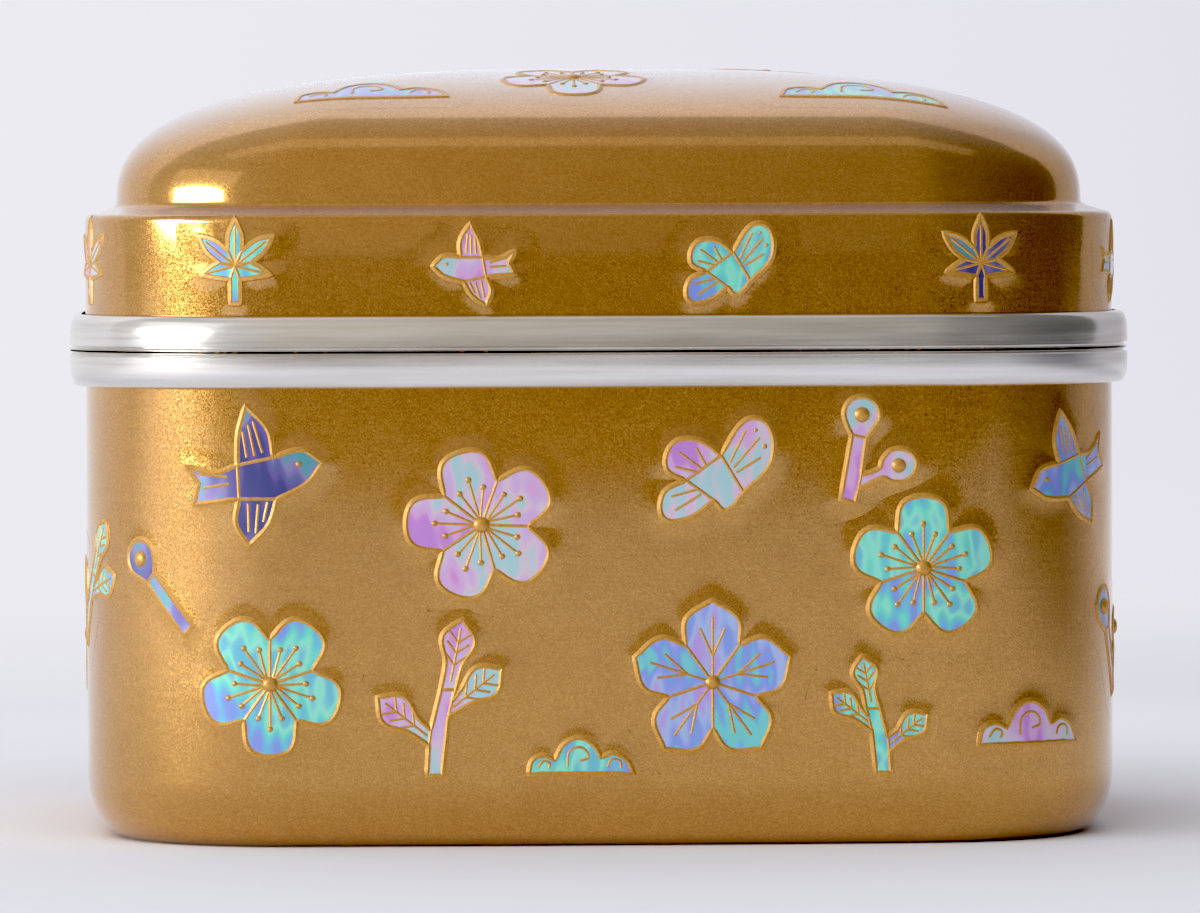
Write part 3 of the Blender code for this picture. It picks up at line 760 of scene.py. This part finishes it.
def shell_plates(name, plates, place, slot):
    """The plates of one ornament, laid on their surface."""
    bm = bmesh.new()
    tint = bm.verts.layers.float.new("tint")
    for number, plate in enumerate(plates):
        face = bm.faces.new([bm.verts.new((x, y, 0)) for x, y in plate])
        for vert in face.verts:
            vert[tint] = number * GOLDEN_SHARE % 1
    for axis in (0, 1):
        spread = [vert.co[axis] for vert in bm.verts]
        normal = (1 - axis, axis, 0)
        for line in strip_lines(min(spread), max(spread)):
            everything = bm.verts[:] + bm.edges[:] + bm.faces[:]
            through = [line * part for part in normal]
            plane = {"plane_co": through, "plane_no": normal}
            bmesh.ops.bisect_plane(bm, geom=everything, dist=CUT_MARGIN, **plane)
    grown = bmesh.ops.extrude_face_region(bm, geom=bm.faces[:], use_keep_orig=True)["geom"]
    raised = set(only(grown, BMVert))
    for vert in bm.verts:
        lift = PLATE_TOP if vert in raised else PLATE_TOP - PLATE_THICKNESS
        vert.co = place(vert.co.x, vert.co.y, lift)
    bmesh.ops.triangulate(bm, faces=bm.faces)
    finish_piece(name + "_shell", bm, slot, name)


# %% [markdown]
# ## The raised gold beds
# Round each ornament the lacquer is built up in thin coats, so the motif lies on a soft low
# cushion that slopes down to the wall. The cushion is a fine grid whose height depends on how far
# each of its points is from the nearest plate. It is steepest beside the shell and runs out level
# with the wall, where what is far away is deleted.

# %% How far a point is from the plates
def distances(points, plates):
    """How far each point lies outside the nearest plate, with less than 0 inside one."""
    points = np.array(points, float).reshape(-1, 2)
    nearest = np.full(len(points), np.inf)
    for plate in plates:
        start = np.array([tuple(point) for point in plate])
        along = np.roll(start, -1, axis=0) - start
        keep = (along**2).sum(1) > 0
        start, along = start[keep], along[keep]
        gap = points[:, None] - start
        share = np.clip((gap * along).sum(2) / (along**2).sum(1), 0, 1)
        away = np.linalg.norm(gap - share[..., None] * along, axis=2).min(1)
        above = points[:, None, 1] < start[:, 1]
        end_above = points[:, None, 1] < start[:, 1] + along[:, 1]
        with np.errstate(divide="ignore", invalid="ignore"):
            crossing = start[:, 0] + gap[..., 1] / along[:, 1] * along[:, 0]
        inside = ((above != end_above) & (points[:, None, 0] < crossing)).sum(1) % 2 == 1
        nearest = np.minimum(nearest, np.where(inside, -away, away))
    return nearest


# %% Model the beds
BED_RISE = 0.035 * MM
BED_EDGE = 0.20 * MM  # the bed is level this far out from the shell
BED_SLOPE = 2.0 * MM
BED_FLOAT = 0.002 * MM  # keeps the thin end of the slope just over the wall's facets
BED_CELL = 0.2 * MM


def bed_lift(distance):
    """The bed's height over the wall at a distance from the shell."""
    share = np.clip((distance - BED_EDGE) / BED_SLOPE, 0, 1)
    return BED_RISE * (1 - share) ** 3 + BED_FLOAT


def add_bed(bm, plates, place):
    """A soft gold cushion under and round the plates."""
    corners = np.array([tuple(point) for plate in plates for point in plate])
    margin = BED_EDGE + BED_SLOPE
    low, high = corners.min(0) - margin, corners.max(0) + margin
    cells = np.ceil((high - low) / BED_CELL).astype(int)
    grid = bmesh.ops.create_grid(bm, x_segments=cells[0], y_segments=cells[1], size=1)["verts"]
    flat = [low + (high - low) * (np.array(vert.co[:2]) + 1) / 2 for vert in grid]
    away = distances(flat, plates)
    lifts = bed_lift(away)
    for vert, (x, y), lift in zip(grid, flat, lifts):
        vert.co = place(x, y, lift)
    far = [vert for vert, distance in zip(grid, away) if distance > margin]
    bmesh.ops.delete(bm, geom=far, context="VERTS")


# %% [markdown]
# ## The gold lines
# Gold lines edge the shell, part its plates and draw its veins. The worker trails them on with a
# fine brush full of lacquer and strews gold on it, so each line is a low round thread. A curve
# with a round bevel makes such threads, many at once, and then becomes a mesh.

# %% Trail the lines
EDGE_LINE = 0.36 * MM
SEAM_LINE = 0.25 * MM
VEIN_LINE = 0.20 * MM
LINE_STEP = 0.5 * MM
LINE_SUNK = 0.8  # the share of a thread's radius that lies under the surface
DOT_RISE = 0.45  # the height of a dot over the shell, as a share of its radius


def stepped(line):
    """The line with points no further apart than a step, so that it bends with the wall."""
    points = []
    for start, end in zip(line, line[1:]):
        start, end = Vector(start), Vector(end)
        count = max(1, math.ceil((end - start).length / LINE_STEP))
        points += [start.lerp(end, number / count) for number in range(count)]
    return [*points, Vector(line[-1])]


def add_lines(bm, lines, plates, place):
    """Adds round gold threads to the mesh: (points, radius, closed)."""
    curve = bpy.data.curves.new("threads", "CURVE")
    curve.dimensions = "3D"
    curve.bevel_depth = 1.0
    curve.bevel_resolution = 2
    curve.use_fill_caps = True
    for line, radius, closed in lines:
        points = list(line) if closed else stepped(line)
        away = distances(points, plates)
        lifts = np.where(away < EDGE_LINE, PLATE_TOP, bed_lift(away))
        spline = curve.splines.new("POLY")
        spline.points.add(len(points) - 1)
        spline.use_cyclic_u = closed
        for knot, (x, y), lift in zip(spline.points, points, lifts):
            knot.co = (*place(x, y, lift - LINE_SUNK * radius), 1)
            knot.radius = radius
    holder = in_scene("threads", curve)
    shown = holder.evaluated_get(bpy.context.evaluated_depsgraph_get())
    mesh = bpy.data.meshes.new_from_object(shown)
    mesh.polygons.foreach_set("material_index", [1] * len(mesh.polygons))
    bm.from_mesh(mesh)
    bpy.data.objects.remove(holder)
    bpy.data.curves.remove(curve)
    bpy.data.meshes.remove(mesh)


def add_dots(bm, dots, place):
    """Adds low round dots of gold: (x, y, radius)."""
    for x, y, radius in dots:
        sphere = bmesh.ops.create_uvsphere(bm, u_segments=12, v_segments=6, radius=1)["verts"]
        for vert in sphere:
            up = PLATE_TOP + DOT_RISE * radius * vert.co.z
            vert.co = place(x + radius * vert.co.x, y + radius * vert.co.y, up)
        for face in {face for vert in sphere for face in vert.link_faces}:
            face.material_index = 1


# %% Make every ornament
def make_ornament(name, row, square, origin, place):
    """An ornament's shell, and its gold bed with its lines."""
    shape, shell, along, up, size, turned = row
    motif = shape(abs(size) * min(square))

    def move(point):
        x, y = laid(point, along, up, size, turned, square)
        return Vector((origin[0] + x, origin[1] + y))

    outline = [move(point) for point in smooth_line(motif["knots"])]
    plates, seams = cut_plates(outline, motif, move((0, 0)))
    veins = [[move(point) for point in vein] for vein in motif["veins"]]
    dots = [(*move(dot), dot[2]) for dot in motif["dots"]]
    lines = [(outline, EDGE_LINE, True)]
    lines += [(seam, SEAM_LINE, False) for seam in seams]
    lines += [(vein, VEIN_LINE, False) for vein in veins]
    shell_plates(name, plates, place, "shell_" + shell)
    bm = bmesh.new()
    add_bed(bm, plates, place)
    add_lines(bm, lines, plates, place)
    add_dots(bm, dots, place)
    finish_piece(name + "_gold", bm, "gold_lacquer")


QUARTER_SQUARE = QUARTER_RUN / QUARTER_SQUARES
walls = (
    (BODY_ORNAMENTS, 0, rim_low.z / BODY_SQUARES, on_body),
    (BAND_ORNAMENTS, LID_BOTTOM, BAND_HEIGHT / BAND_SQUARES, on_band),
)
for ornaments, foot_height, rise, place in walls:
    for name, (shape, shell, side, *rest_of_row) in ornaments.items():
        origin = (SIDES.index(side) * QUARTER_RUN, foot_height)
        make_ornament(name, (shape, shell, *rest_of_row), (QUARTER_SQUARE, rise), origin, place)
dome_size = (WIDTH - 2 * LEDGE_WIDTH, DEPTH - 2 * LEDGE_WIDTH)
dome_square = [size / squares for size, squares in zip(dome_size, DOME_SQUARES)]
for name, row in DOME_ORNAMENTS.items():
    make_ornament(name, row, dome_square, (0, 0), on_dome)
triangles = sum(len(face.vertices) - 2 for piece, _ in pieces for face in piece.data.polygons)
print(f"{len(pieces)} pieces, {triangles} triangles in all")

# %% [markdown]
# ## Colours and nodes
# Colours are written as on a paint chart, and one function turns them into the linear values that
# light is reckoned in. Each finish is a small network of nodes, read from where a point lies on the
# object, so that every pattern has its real size.

# %% Colours and nodes
def linear(code):
    """A colour written RRGGBB, as linear red, green, blue and an alpha of 1."""
    parts = [int(code[place : place + 2], 16) / 255 for place in (0, 2, 4)]
    return (*(p / 12.92 if p <= 0.04045 else ((p + 0.055) / 1.055) ** 2.4 for p in parts), 1)


def socket(sockets, name):
    """The socket with this identifier or name."""
    return next(one for one in sockets if name in (one.identifier, one.name))


def fill(material, node, inputs):
    """Sets a node's properties and its sockets' values. A pair (node, output) is linked to its
    socket instead, and the stops of a colour ramp are given as (place, colour)."""
    for name, value in inputs.items():
        if name == "stops":
            stops = node.color_ramp.elements
            for number, (place, colour) in enumerate(value):
                stop = stops[number] if number < 2 else stops.new(place)
                stop.position, stop.color = place, linear(colour)
        elif hasattr(node, name):
            setattr(node, name, value)
        elif isinstance(value, tuple) and isinstance(value[0], bpy.types.Node):
            source = socket(value[0].outputs, value[1])
            material.node_tree.links.new(source, socket(node.inputs, name))
        else:
            socket(node.inputs, name).default_value = value
    return node


def add(material, kind, inputs):
    """Adds a node and fills it in."""
    return fill(material, material.node_tree.nodes.new("ShaderNode" + kind), inputs)


def new_material(name, inputs):
    """A material whose one Principled shader has these values, that shader, and the output that
    tells where a point lies on the object."""
    material = bpy.data.materials.new(name)
    material.use_nodes = True
    shader = fill(material, material.node_tree.nodes["Principled BSDF"], inputs)
    return material, shader, (add(material, "TexCoord", {}), "Object")


print("middle grey is", [round(part, 3) for part in linear("808080")[:3]], "in linear light")

# %% [markdown]
# ## Gold lacquer
# Gold powder is strewn on wet lacquer, sealed with clear coats and polished. Each grain lies its
# own way and has its own brightness. Broad soft clouds show where the powder lies thicker, and the
# clear coat over it gives a second, sharper shine. The gold of the lines is strewn last and gets
# only a thin coat, so it is more matte.

# %% Gold powder under clear lacquer
GRAIN = 0.09 * MM
LINE_GRAIN = 0.08 * MM
MOTTLE = 3 * MM
STREAK_LENGTH, STREAK_HEIGHT = 4 * MM, 0.35 * MM
LEAN = 0.02  # the range of a grain's lean along each axis, as a slope
CLOUD_SHARE = 0.45  # the clouds' share of the tone, where the rest is the grain's own
SWELL = 0.006 * MM  # how far the clouds raise the surface, at full strength


def gold_material(name, tones, inputs, gloss, grain):
    """Powdered gold: grains of these tones, from the darkest, over soft broad clouds."""
    gold, shader, where = new_material(name, inputs)
    grains = add(gold, "TexVoronoi", {"Scale": 1 / grain, "Vector": where})
    number = add(gold, "SeparateColor", {"Color": (grains, "Color")})
    clouds = add(gold, "TexNoise", {"Scale": 1 / MOTTLE, "Detail": 2.0, "Vector": where})
    stretch = (1 / STREAK_LENGTH, 1 / STREAK_LENGTH, 1 / STREAK_HEIGHT)
    stretched = add(gold, "Mapping", {"Scale": stretch, "Vector": where})
    streaks = add(gold, "TexNoise", {"Scale": 1.0, "Detail": 2.0, "Vector": (stretched, "Vector")})
    halves = {"Factor_Float": 0.5, "A_Float": (streaks, "Fac"), "B_Float": (clouds, "Fac")}
    height = (add(gold, "Mix", halves), "Result_Float")
    parts = {"Factor_Float": CLOUD_SHARE, "A_Float": (number, "Red"), "B_Float": height}
    mixed = add(gold, "Mix", parts)
    colour = add(gold, "ValToRGB", {"stops": tones, "Fac": (mixed, "Result_Float")})
    spread = {"To Min": gloss[0], "To Max": gloss[1], "Value": (number, "Green")}
    rough = add(gold, "MapRange", spread)
    normal = (add(gold, "NewGeometry", {}), "Normal")
    # A grain's colour is three numbers from 0 to 1. They lean the normal, half of LEAN either way.
    lean = {"operation": "MULTIPLY_ADD", "Vector_001": (LEAN, LEAN, LEAN)}
    leaned = add(gold, "VectorMath", lean | {"Vector": (grains, "Color"), "Vector_002": normal})
    centre = {"operation": "SUBTRACT", "Vector_001": (LEAN / 2, LEAN / 2, LEAN / 2)}
    centred = add(gold, "VectorMath", centre | {"Vector": (leaned, "Vector")})
    facet = add(gold, "VectorMath", {"operation": "NORMALIZE", "Vector": (centred, "Vector")})
    raised = {"Strength": 0.6, "Distance": SWELL, "Height": height, "Normal": (facet, "Vector")}
    swell = add(gold, "Bump", raised)
    ends = {"Base Color": (colour, "Color"), "Roughness": (rough, "Result")}
    fill(gold, shader, ends | {"Normal": (swell, "Normal")})
    return gold


lacquer = gold_material(
    "Gold lacquer, powder under clear coats",
    [(0.1, "B4843E"), (0.5, "C7954E"), (0.9, "DBAC62")],
    {"Metallic": 0.97, "Coat Weight": 1.0, "Coat Roughness": 0.06, "Coat IOR": 1.75},
    gloss=(0.08, 0.26),
    grain=GRAIN,
)
gold_line = gold_material(
    "Gold line, powder strewn on lacquer",
    [(0.1, "C4924F"), (0.5, "D8A964"), (0.9, "E6BE7E")],
    {"Metallic": 0.8, "Coat Weight": 0.5, "Coat Roughness": 0.3, "Coat IOR": 1.5},
    gloss=(0.38, 0.6),
    grain=LINE_GRAIN,
)
print(f"{lacquer.name}: {len(lacquer.node_tree.nodes)} nodes")

# %% [markdown]
# ## The inside, strewn with flakes
# The inside is dark lacquer with sparse flakes of gold in it, under amber coats. Voronoi cells
# stand for the flakes: a cell glints where its own number is high.

# %% Flakes in amber lacquer
FLAKE = 0.45 * MM
flaked, flaked_shader, where = new_material(
    "Flaked lacquer, gold in amber coats",
    {"Roughness": 0.3, "Coat Weight": 1.0, "Coat Roughness": 0.05, "Coat IOR": 1.5},
)
cells = add(flaked, "TexVoronoi", {"Scale": 1 / FLAKE, "Vector": where})
chance = add(flaked, "SeparateColor", {"Color": (cells, "Color")})
few = {"From Min": 0.62, "From Max": 0.70, "Value": (chance, "Red")}
share = add(flaked, "MapRange", few)
middle = {"From Min": 0.42, "From Max": 0.34, "Value": (cells, "Distance")}
near = add(flaked, "MapRange", middle)
product = {"operation": "MULTIPLY", "Value": (share, "Result"), "Value_001": (near, "Result")}
flakes = (add(flaked, "Math", product), "Value")
browns = {"data_type": "RGBA", "A_Color": linear("2E1406"), "B_Color": linear("C98F3A")}
amber = add(flaked, "Mix", browns | {"Factor_Float": flakes})
fill(flaked, flaked_shader, {"Base Color": (amber, "Result_Color"), "Metallic": flakes})
print(f"flakes in cells of {FLAKE / MM:.2f} mm")

# %% [markdown]
# ## Silver
# The rims are bare silver, rubbed bright along their length, so their shine is a little uneven
# from place to place and slightly warm.

# %% Rubbed silver
RUB_LENGTH, RUB_HEIGHT = 14 * MM, 0.5 * MM
silver, silver_shader, where = new_material(
    "Silver, rubbed bright", {"Metallic": 1.0, "Roughness": 0.16}
)
stretch = (1 / RUB_LENGTH, 1 / RUB_LENGTH, 1 / RUB_HEIGHT)
long_ways = add(silver, "Mapping", {"Scale": stretch, "Vector": where})
fine = {"Scale": 1.0, "Detail": 4.0, "Vector": (long_ways, "Vector")}
rubbing = (add(silver, "TexNoise", fine), "Fac")
tone = add(silver, "ValToRGB", {"stops": [(0.3, "DDD9D4"), (0.7, "F0EEEB")], "Fac": rubbing})
shine = add(silver, "MapRange", {"To Min": 0.08, "To Max": 0.26, "Value": rubbing})
ripple = add(silver, "Bump", {"Strength": 0.4, "Distance": 0.01 * MM, "Height": rubbing})
ends = {"Base Color": (tone, "Color"), "Roughness": (shine, "Result")}
fill(silver, silver_shader, ends | {"Normal": (ripple, "Normal")})
print(f"rubbed in streaks of {RUB_LENGTH / MM:.0f} x {RUB_HEIGHT / MM:.1f} mm")

# %% [markdown]
# ## Mother-of-pearl
# Shell is built of sheets thinner than light's waves, so its colour drifts in soft clouds and
# changes from plate to plate. A noise whose colours run through a ramp makes the clouds, each
# plate's tint moves them, and fine growth lines cross them.

# %% Shells
PEARL_CLOUD = 4.5 * MM
GROWTH = 0.22 * MM  # growth lines lie about 2 pi times this apart
WAVE_RATE = 20  # radians per metre of a wave texture whose scale is 1
TINT_SHIFT = (19 * MM, 11 * MM, 13 * MM)  # how far a tint of 1 moves a plate's clouds
FIBRE = 0.10  # how far a growth line shifts the colour along the ramp
RAMP_START, RAMP_SPREAD = 0.35, 0.30  # the part of the noise's range that the colours take up


def shell_material(name, colours):
    """Shell whose clouds run through these colours."""
    gleam = {"Coat Weight": 1.0, "Coat Roughness": 0.07, "Coat IOR": 1.5}
    shell, shader, where = new_material(name, {"Metallic": 0.35, "Roughness": 0.3} | gleam)
    tint = add(shell, "Attribute", {"attribute_name": "tint"})
    shift = {"operation": "MULTIPLY_ADD", "Vector_001": TINT_SHIFT}
    moved = add(shell, "VectorMath", shift | {"Vector": (tint, "Vector"), "Vector_002": where})
    shifted = {"Vector": (moved, "Vector")}
    soft = {"Scale": 1 / PEARL_CLOUD, "Detail": 1.0, "Distortion": 0.3}
    clouds = add(shell, "TexNoise", soft | shifted)
    fine = {"Scale": 1 / GROWTH / WAVE_RATE, "Distortion": 6.0, "Detail": 2.0, "Detail Scale": 1.0}
    lines = (add(shell, "TexWave", fine | shifted), "Fac")
    sum_up = {"operation": "MULTIPLY_ADD", "Value_001": FIBRE}
    drift = add(shell, "Math", sum_up | {"Value": lines, "Value_002": (clouds, "Fac")})
    first, step = RAMP_START + FIBRE / 2, RAMP_SPREAD / (len(colours) - 1)
    stops = [(first + step * number, code) for number, code in enumerate(colours)]
    colour = add(shell, "ValToRGB", {"stops": stops, "Fac": (drift, "Value")})
    colour.color_ramp.interpolation = "B_SPLINE"
    grown = add(shell, "Bump", {"Strength": 0.25, "Distance": 0.01 * MM, "Height": lines})
    fill(shell, shader, {"Base Color": (colour, "Color"), "Normal": (grown, "Normal")})
    return shell


SHELL_COLOURS = {
    "rose": ["C58FE0", "E6B4DC", "C9B6EC", "EBC8DA", "A9D6DE"],
    "teal": ["8F9CEA", "7CC0EA", "6FE0CC", "A8F2DA", "6FC0DC"],
    "blue": ["7FD8D6", "7FA6EE", "9C9CEE", "A9D0F2", "BE9CE6"],
    "dusk": ["4F568E", "7E68B0", "55789E", "A884C8", "5FA6B0"],
}
shells = {
    "shell_" + tone: shell_material("Mother-of-pearl, " + tone, colours)
    for tone, colours in SHELL_COLOURS.items()
}
print(f"{len(shells)} shells")

# %% [markdown]
# ## Dust and fine wear
# What faces up on the real box is a little hazy with dust and fine wear. A faint cool sheen, only
# on the parts that face up, gives the lid that pale bloom.

# %% A bloom of dust
DUST = 0.5
for hazy in (lacquer, gold_line, *shells.values()):
    surface = add(hazy, "NewGeometry", {})
    facing = add(hazy, "SeparateXYZ", {"Vector": (surface, "Normal")})
    upward = {"From Min": 0.4, "From Max": 0.8, "To Min": 0.0, "To Max": DUST}
    dust = add(hazy, "MapRange", upward | {"Value": (facing, "Z")})
    haze = {"Sheen Roughness": 0.5, "Sheen Tint": linear("DDE4F2")}
    hazy_shader = hazy.node_tree.nodes["Principled BSDF"]
    fill(hazy, hazy_shader, haze | {"Sheen Weight": (dust, "Result")})
print(f"sheen up to {DUST} on what faces up")

# %% Dress the pieces
dress = {"gold_lacquer": [lacquer, flaked], "silver": [silver]}
dress |= {slot: [shell] for slot, shell in shells.items()}
for piece, slot in pieces:
    for finish in [lacquer, gold_line] if piece.name.endswith("_gold") else dress[slot]:
        piece.data.materials.append(finish)
print(f"{len(pieces)} pieces dressed")

# %% [markdown]
# ## The studio
# The box stands on a pale sweep, a sheet that runs back and up behind it without a fold. The far
# part of the sweep and the floor to its left glow. This is painted light: an emission whose share
# grows with distance and towards the left stands in for a separately lit backdrop and for a pool of
# light on the left floor. Towards the right and the back the paper's colour is painted darker, as
# painted shade.

# %% The sweep
SWEEP_LEFT, SWEEP_RIGHT, SWEEP_FRONT = -4.0, 3.0, -0.80
SWEEP_BACK, SWEEP_TOP, SWEEP_CURVE = 1.3, 3.1, 0.3


def extend(bm, edges, way):
    """Extrudes edges and moves what is new this way."""
    grown = bmesh.ops.extrude_edge_only(bm, edges=edges)["geom"]
    bmesh.ops.translate(bm, verts=only(grown, BMVert), vec=way)
    return grown


bm = bmesh.new()
front = [bm.verts.new((side, SWEEP_FRONT, 0)) for side in (SWEEP_LEFT, SWEEP_RIGHT)]
flat = extend(bm, [bm.edges.new(front)], (0, SWEEP_BACK - SWEEP_CURVE - SWEEP_FRONT, 0))
curved = bmesh.ops.spin(
    bm,
    geom=only(flat, (BMVert, BMEdge)),
    cent=(0, SWEEP_BACK - SWEEP_CURVE, SWEEP_CURVE),
    axis=(1, 0, 0),
    angle=math.pi / 2,
    steps=16,
)["geom_last"]
extend(bm, only(curved, BMEdge), (0, 0, SWEEP_TOP - SWEEP_CURVE))
sweep = in_scene("sweep", smooth_mesh("sweep", bm))
print(f"sweep of {len(sweep.data.polygons)} faces")

# %% The sweep's paper
paper, paper_shader, where = new_material(
    "White paper, painted glow and shade", {"Roughness": 0.9, "Specular IOR Level": 0.1}
)
place = add(paper, "SeparateXYZ", {"Vector": where})
along = {"operation": "DOT_PRODUCT", "Vector_001": (1.0, 0.8, 0.0), "Vector": where}
rightward = add(paper, "VectorMath", along)
# The paper's colour darkens towards the right and the back: painted shade, not a tone of the paper.
FLOOR_SHADE_TONES = [(0.15, "EFF2FB"), (0.45, "A6A8B0")]
painted_floor_shade = add(paper, "ValToRGB", {"stops": FLOOR_SHADE_TONES, "Fac": (rightward, "Value")})
fill(paper, paper_shader, {"Base Color": (painted_floor_shade, "Color")})
# For each of these: the axis, from where to where along it, and the values there.
RANGES = {
    "glow": ("Y", -0.02, 0.35, 0.0, 1.0, "SMOOTHSTEP"),
    "sideways": ("X", -0.78, 0.78, 0.0, 1.0, "LINEAR"),
    "higher": ("Z", 0.3, 2.2, 1.0, 1.2, "LINEAR"),
    "nearer": ("Y", -0.10, 0.15, 1.5, 1.0, "LINEAR"),
    "leftward": ("X", -0.08, -0.45, 0.0, 1.0, "SMOOTHSTEP"),
}
ranged = {}
for name, (axis, near, far, at_near, at_far, steps) in RANGES.items():
    reach = {"From Min": near, "From Max": far, "To Min": at_near, "To Max": at_far}
    reach |= {"interpolation_type": steps, "Value": (place, axis)}
    ranged[name] = (add(paper, "MapRange", reach), "Result")
# The glow's colour dims towards the right: a painted fall-off of light.
GLOW_TONES = [(0.4, "EFEEF3"), (0.6, "E6E5ED"), (1.0, "BEBCC2")]
tinted = add(paper, "ValToRGB", {"stops": GLOW_TONES, "Fac": ranged["sideways"]})
product = {"operation": "MULTIPLY", "Value": ranged["higher"], "Value_001": ranged["nearer"]}
strength = add(paper, "Math", product)
larger = {"operation": "MAXIMUM", "Value": ranged["glow"], "Value_001": ranged["leftward"]}
lit = add(paper, "Math", larger)
# A painted glow: where it takes over, the paper shines as if lit, though it is no lamp.
glowing = {"Color": (tinted, "Color"), "Strength": (strength, "Value")}
backdrop = (add(paper, "Emission", glowing), "Emission")
both = {"Fac": (lit, "Value"), "Shader": (paper_shader, "BSDF"), "Shader_001": backdrop}
paper_end = paper.node_tree.nodes["Material Output"]
fill(paper, paper_end, {"Surface": (add(paper, "MixShader", both), "Shader")})
sweep.data.materials.append(paper)
print(f"{paper.name}: {len(paper.node_tree.nodes)} nodes")

# %% [markdown]
# The brightest light is a low oval at the front left, so it shows as a bright spot on the dome's
# left and as a glow down the left of the walls. A dim window stands over it. An overhead light
# only softens the shadow at the foot: the lacquer doesn't mirror it, as a photographer would see
# to by hanging it out of the mirror's angle. A faint long ceiling light draws a line on the dome.

# %% The lights
LIGHTS_AIM = Vector((0, 0, 30 * MM))  # half the box's height


def softbox(name, azimuth, elevation, distance, size, radiance, shape="RECTANGLE", mirrored=True):
    """A soft light that aims at the box. The azimuth turns from the front to the left. What isn't
    mirrored lights the box and the paper but can't be seen in them."""
    light = bpy.data.lights.new(name, "AREA")
    light.shape = shape
    light.size, light.size_y = size
    area = size[0] * size[1] * (math.pi / 4 if shape == "ELLIPSE" else 1)
    light.energy = radiance * math.pi * area
    made = in_scene(name, light)
    turned, raised = math.radians(azimuth), math.radians(elevation)
    away = Vector((-math.sin(turned), -math.cos(turned), 0)) * math.cos(raised)
    away.z = math.sin(raised)
    made.location = LIGHTS_AIM + away * distance
    made.rotation_euler = away.to_track_quat("Z", "Y").to_euler()
    made.visible_camera = False
    made.visible_glossy = mirrored
    print(f"{name}: {light.energy:.2f} W")


softbox("key", 64, 8.2, 0.95, (0.62, 0.16), 16.0, "ELLIPSE")
softbox("window", 63, 24, 1.40, (1.20, 0.50), 0.30)
softbox("overhead", 0, 52, 1.3, (1.60, 1.00), 1.1, mirrored=False)
softbox("ceiling", 0, 74, 1.20, (1.60, 0.30), 0.18)

# %% [markdown]
# The room itself is dim. It is lighter on the left, warm in the middle and darkest at the right,
# and what lies lower than the table is in shade.

# %% The room
SIDE_TONES = [
    (0.0, "DDDDDE"),
    (0.29, "D4D2D0"),
    (0.465, "D4CCC2"),
    (0.52, "BEB7AF"),
    (0.56, "AEABA6"),
    (0.685, "959390"),
    (0.85, "8A8988"),
    (1.0, "737373"),
]
HEIGHT_TONES = [(0.46, "909090"), (0.493, "B4B4B4"), (0.503, "FFFFFF"), (1.0, "FFFFFF")]
world = bpy.data.worlds.new("room")
world.use_nodes = True
around = add(world, "TexCoord", {})
parts = add(world, "SeparateXYZ", {"Vector": (around, "Generated")})
room = {"data_type": "RGBA", "blend_type": "MULTIPLY", "Factor_Float": 1.0}
for side, axis, tones in (("A_Color", "X", SIDE_TONES), ("B_Color", "Z", HEIGHT_TONES)):
    share = add(world, "MapRange", {"From Min": -1.0, "From Max": 1.0, "Value": (parts, axis)})
    ramp = add(world, "ValToRGB", {"stops": tones, "Fac": (share, "Result")})
    room[side] = (ramp, "Color")
walls_seen = (add(world, "Mix", room), "Result_Color")
fill(world, world.node_tree.nodes["Background"], {"Color": walls_seen})
bpy.context.scene.world = world
print(f"room of {len(SIDE_TONES)} tones from left to right")

# %% [markdown]
# ## The camera
# The picture was taken from about 60 cm with a long lens, level with the lid and looking slightly
# down at the middle of the box.

# %% The camera
STAND_OFF, EYE_HEIGHT, AIM_HEIGHT = 610.4 * MM, 48.5 * MM, 29.6 * MM
EYE_SIDE, AIM_SIDE, ROLL = -19.6 * MM, -0.5 * MM, math.radians(-0.226)
LENS, SENSOR = 242.9, 36  # these two in millimetres
BLACK_LEVEL = 0.055  # what is darker than this is black, as in a printed photograph
camera_data = bpy.data.cameras.new("camera")
camera_data.lens, camera_data.sensor_width = LENS, SENSOR
camera = in_scene("camera", camera_data)
front_plane = -DEPTH / 2
camera.location = (EYE_SIDE, front_plane - STAND_OFF, EYE_HEIGHT)
view = Vector((AIM_SIDE, front_plane, AIM_HEIGHT)) - camera.location
turn_to = view.to_track_quat("-Z", "Y").to_matrix().to_4x4()
camera.rotation_euler = (turn_to @ Matrix.Rotation(ROLL, 4, "Z")).to_euler()
bpy.context.scene.camera = camera
shown = bpy.context.scene.view_settings
shown.view_transform = "Standard"
shown.use_curve_mapping = True
shown.curve_mapping.black_level = 3 * (BLACK_LEVEL,)
shown.curve_mapping.update()
print(f"camera {view.length * 100:.0f} cm from where it looks")
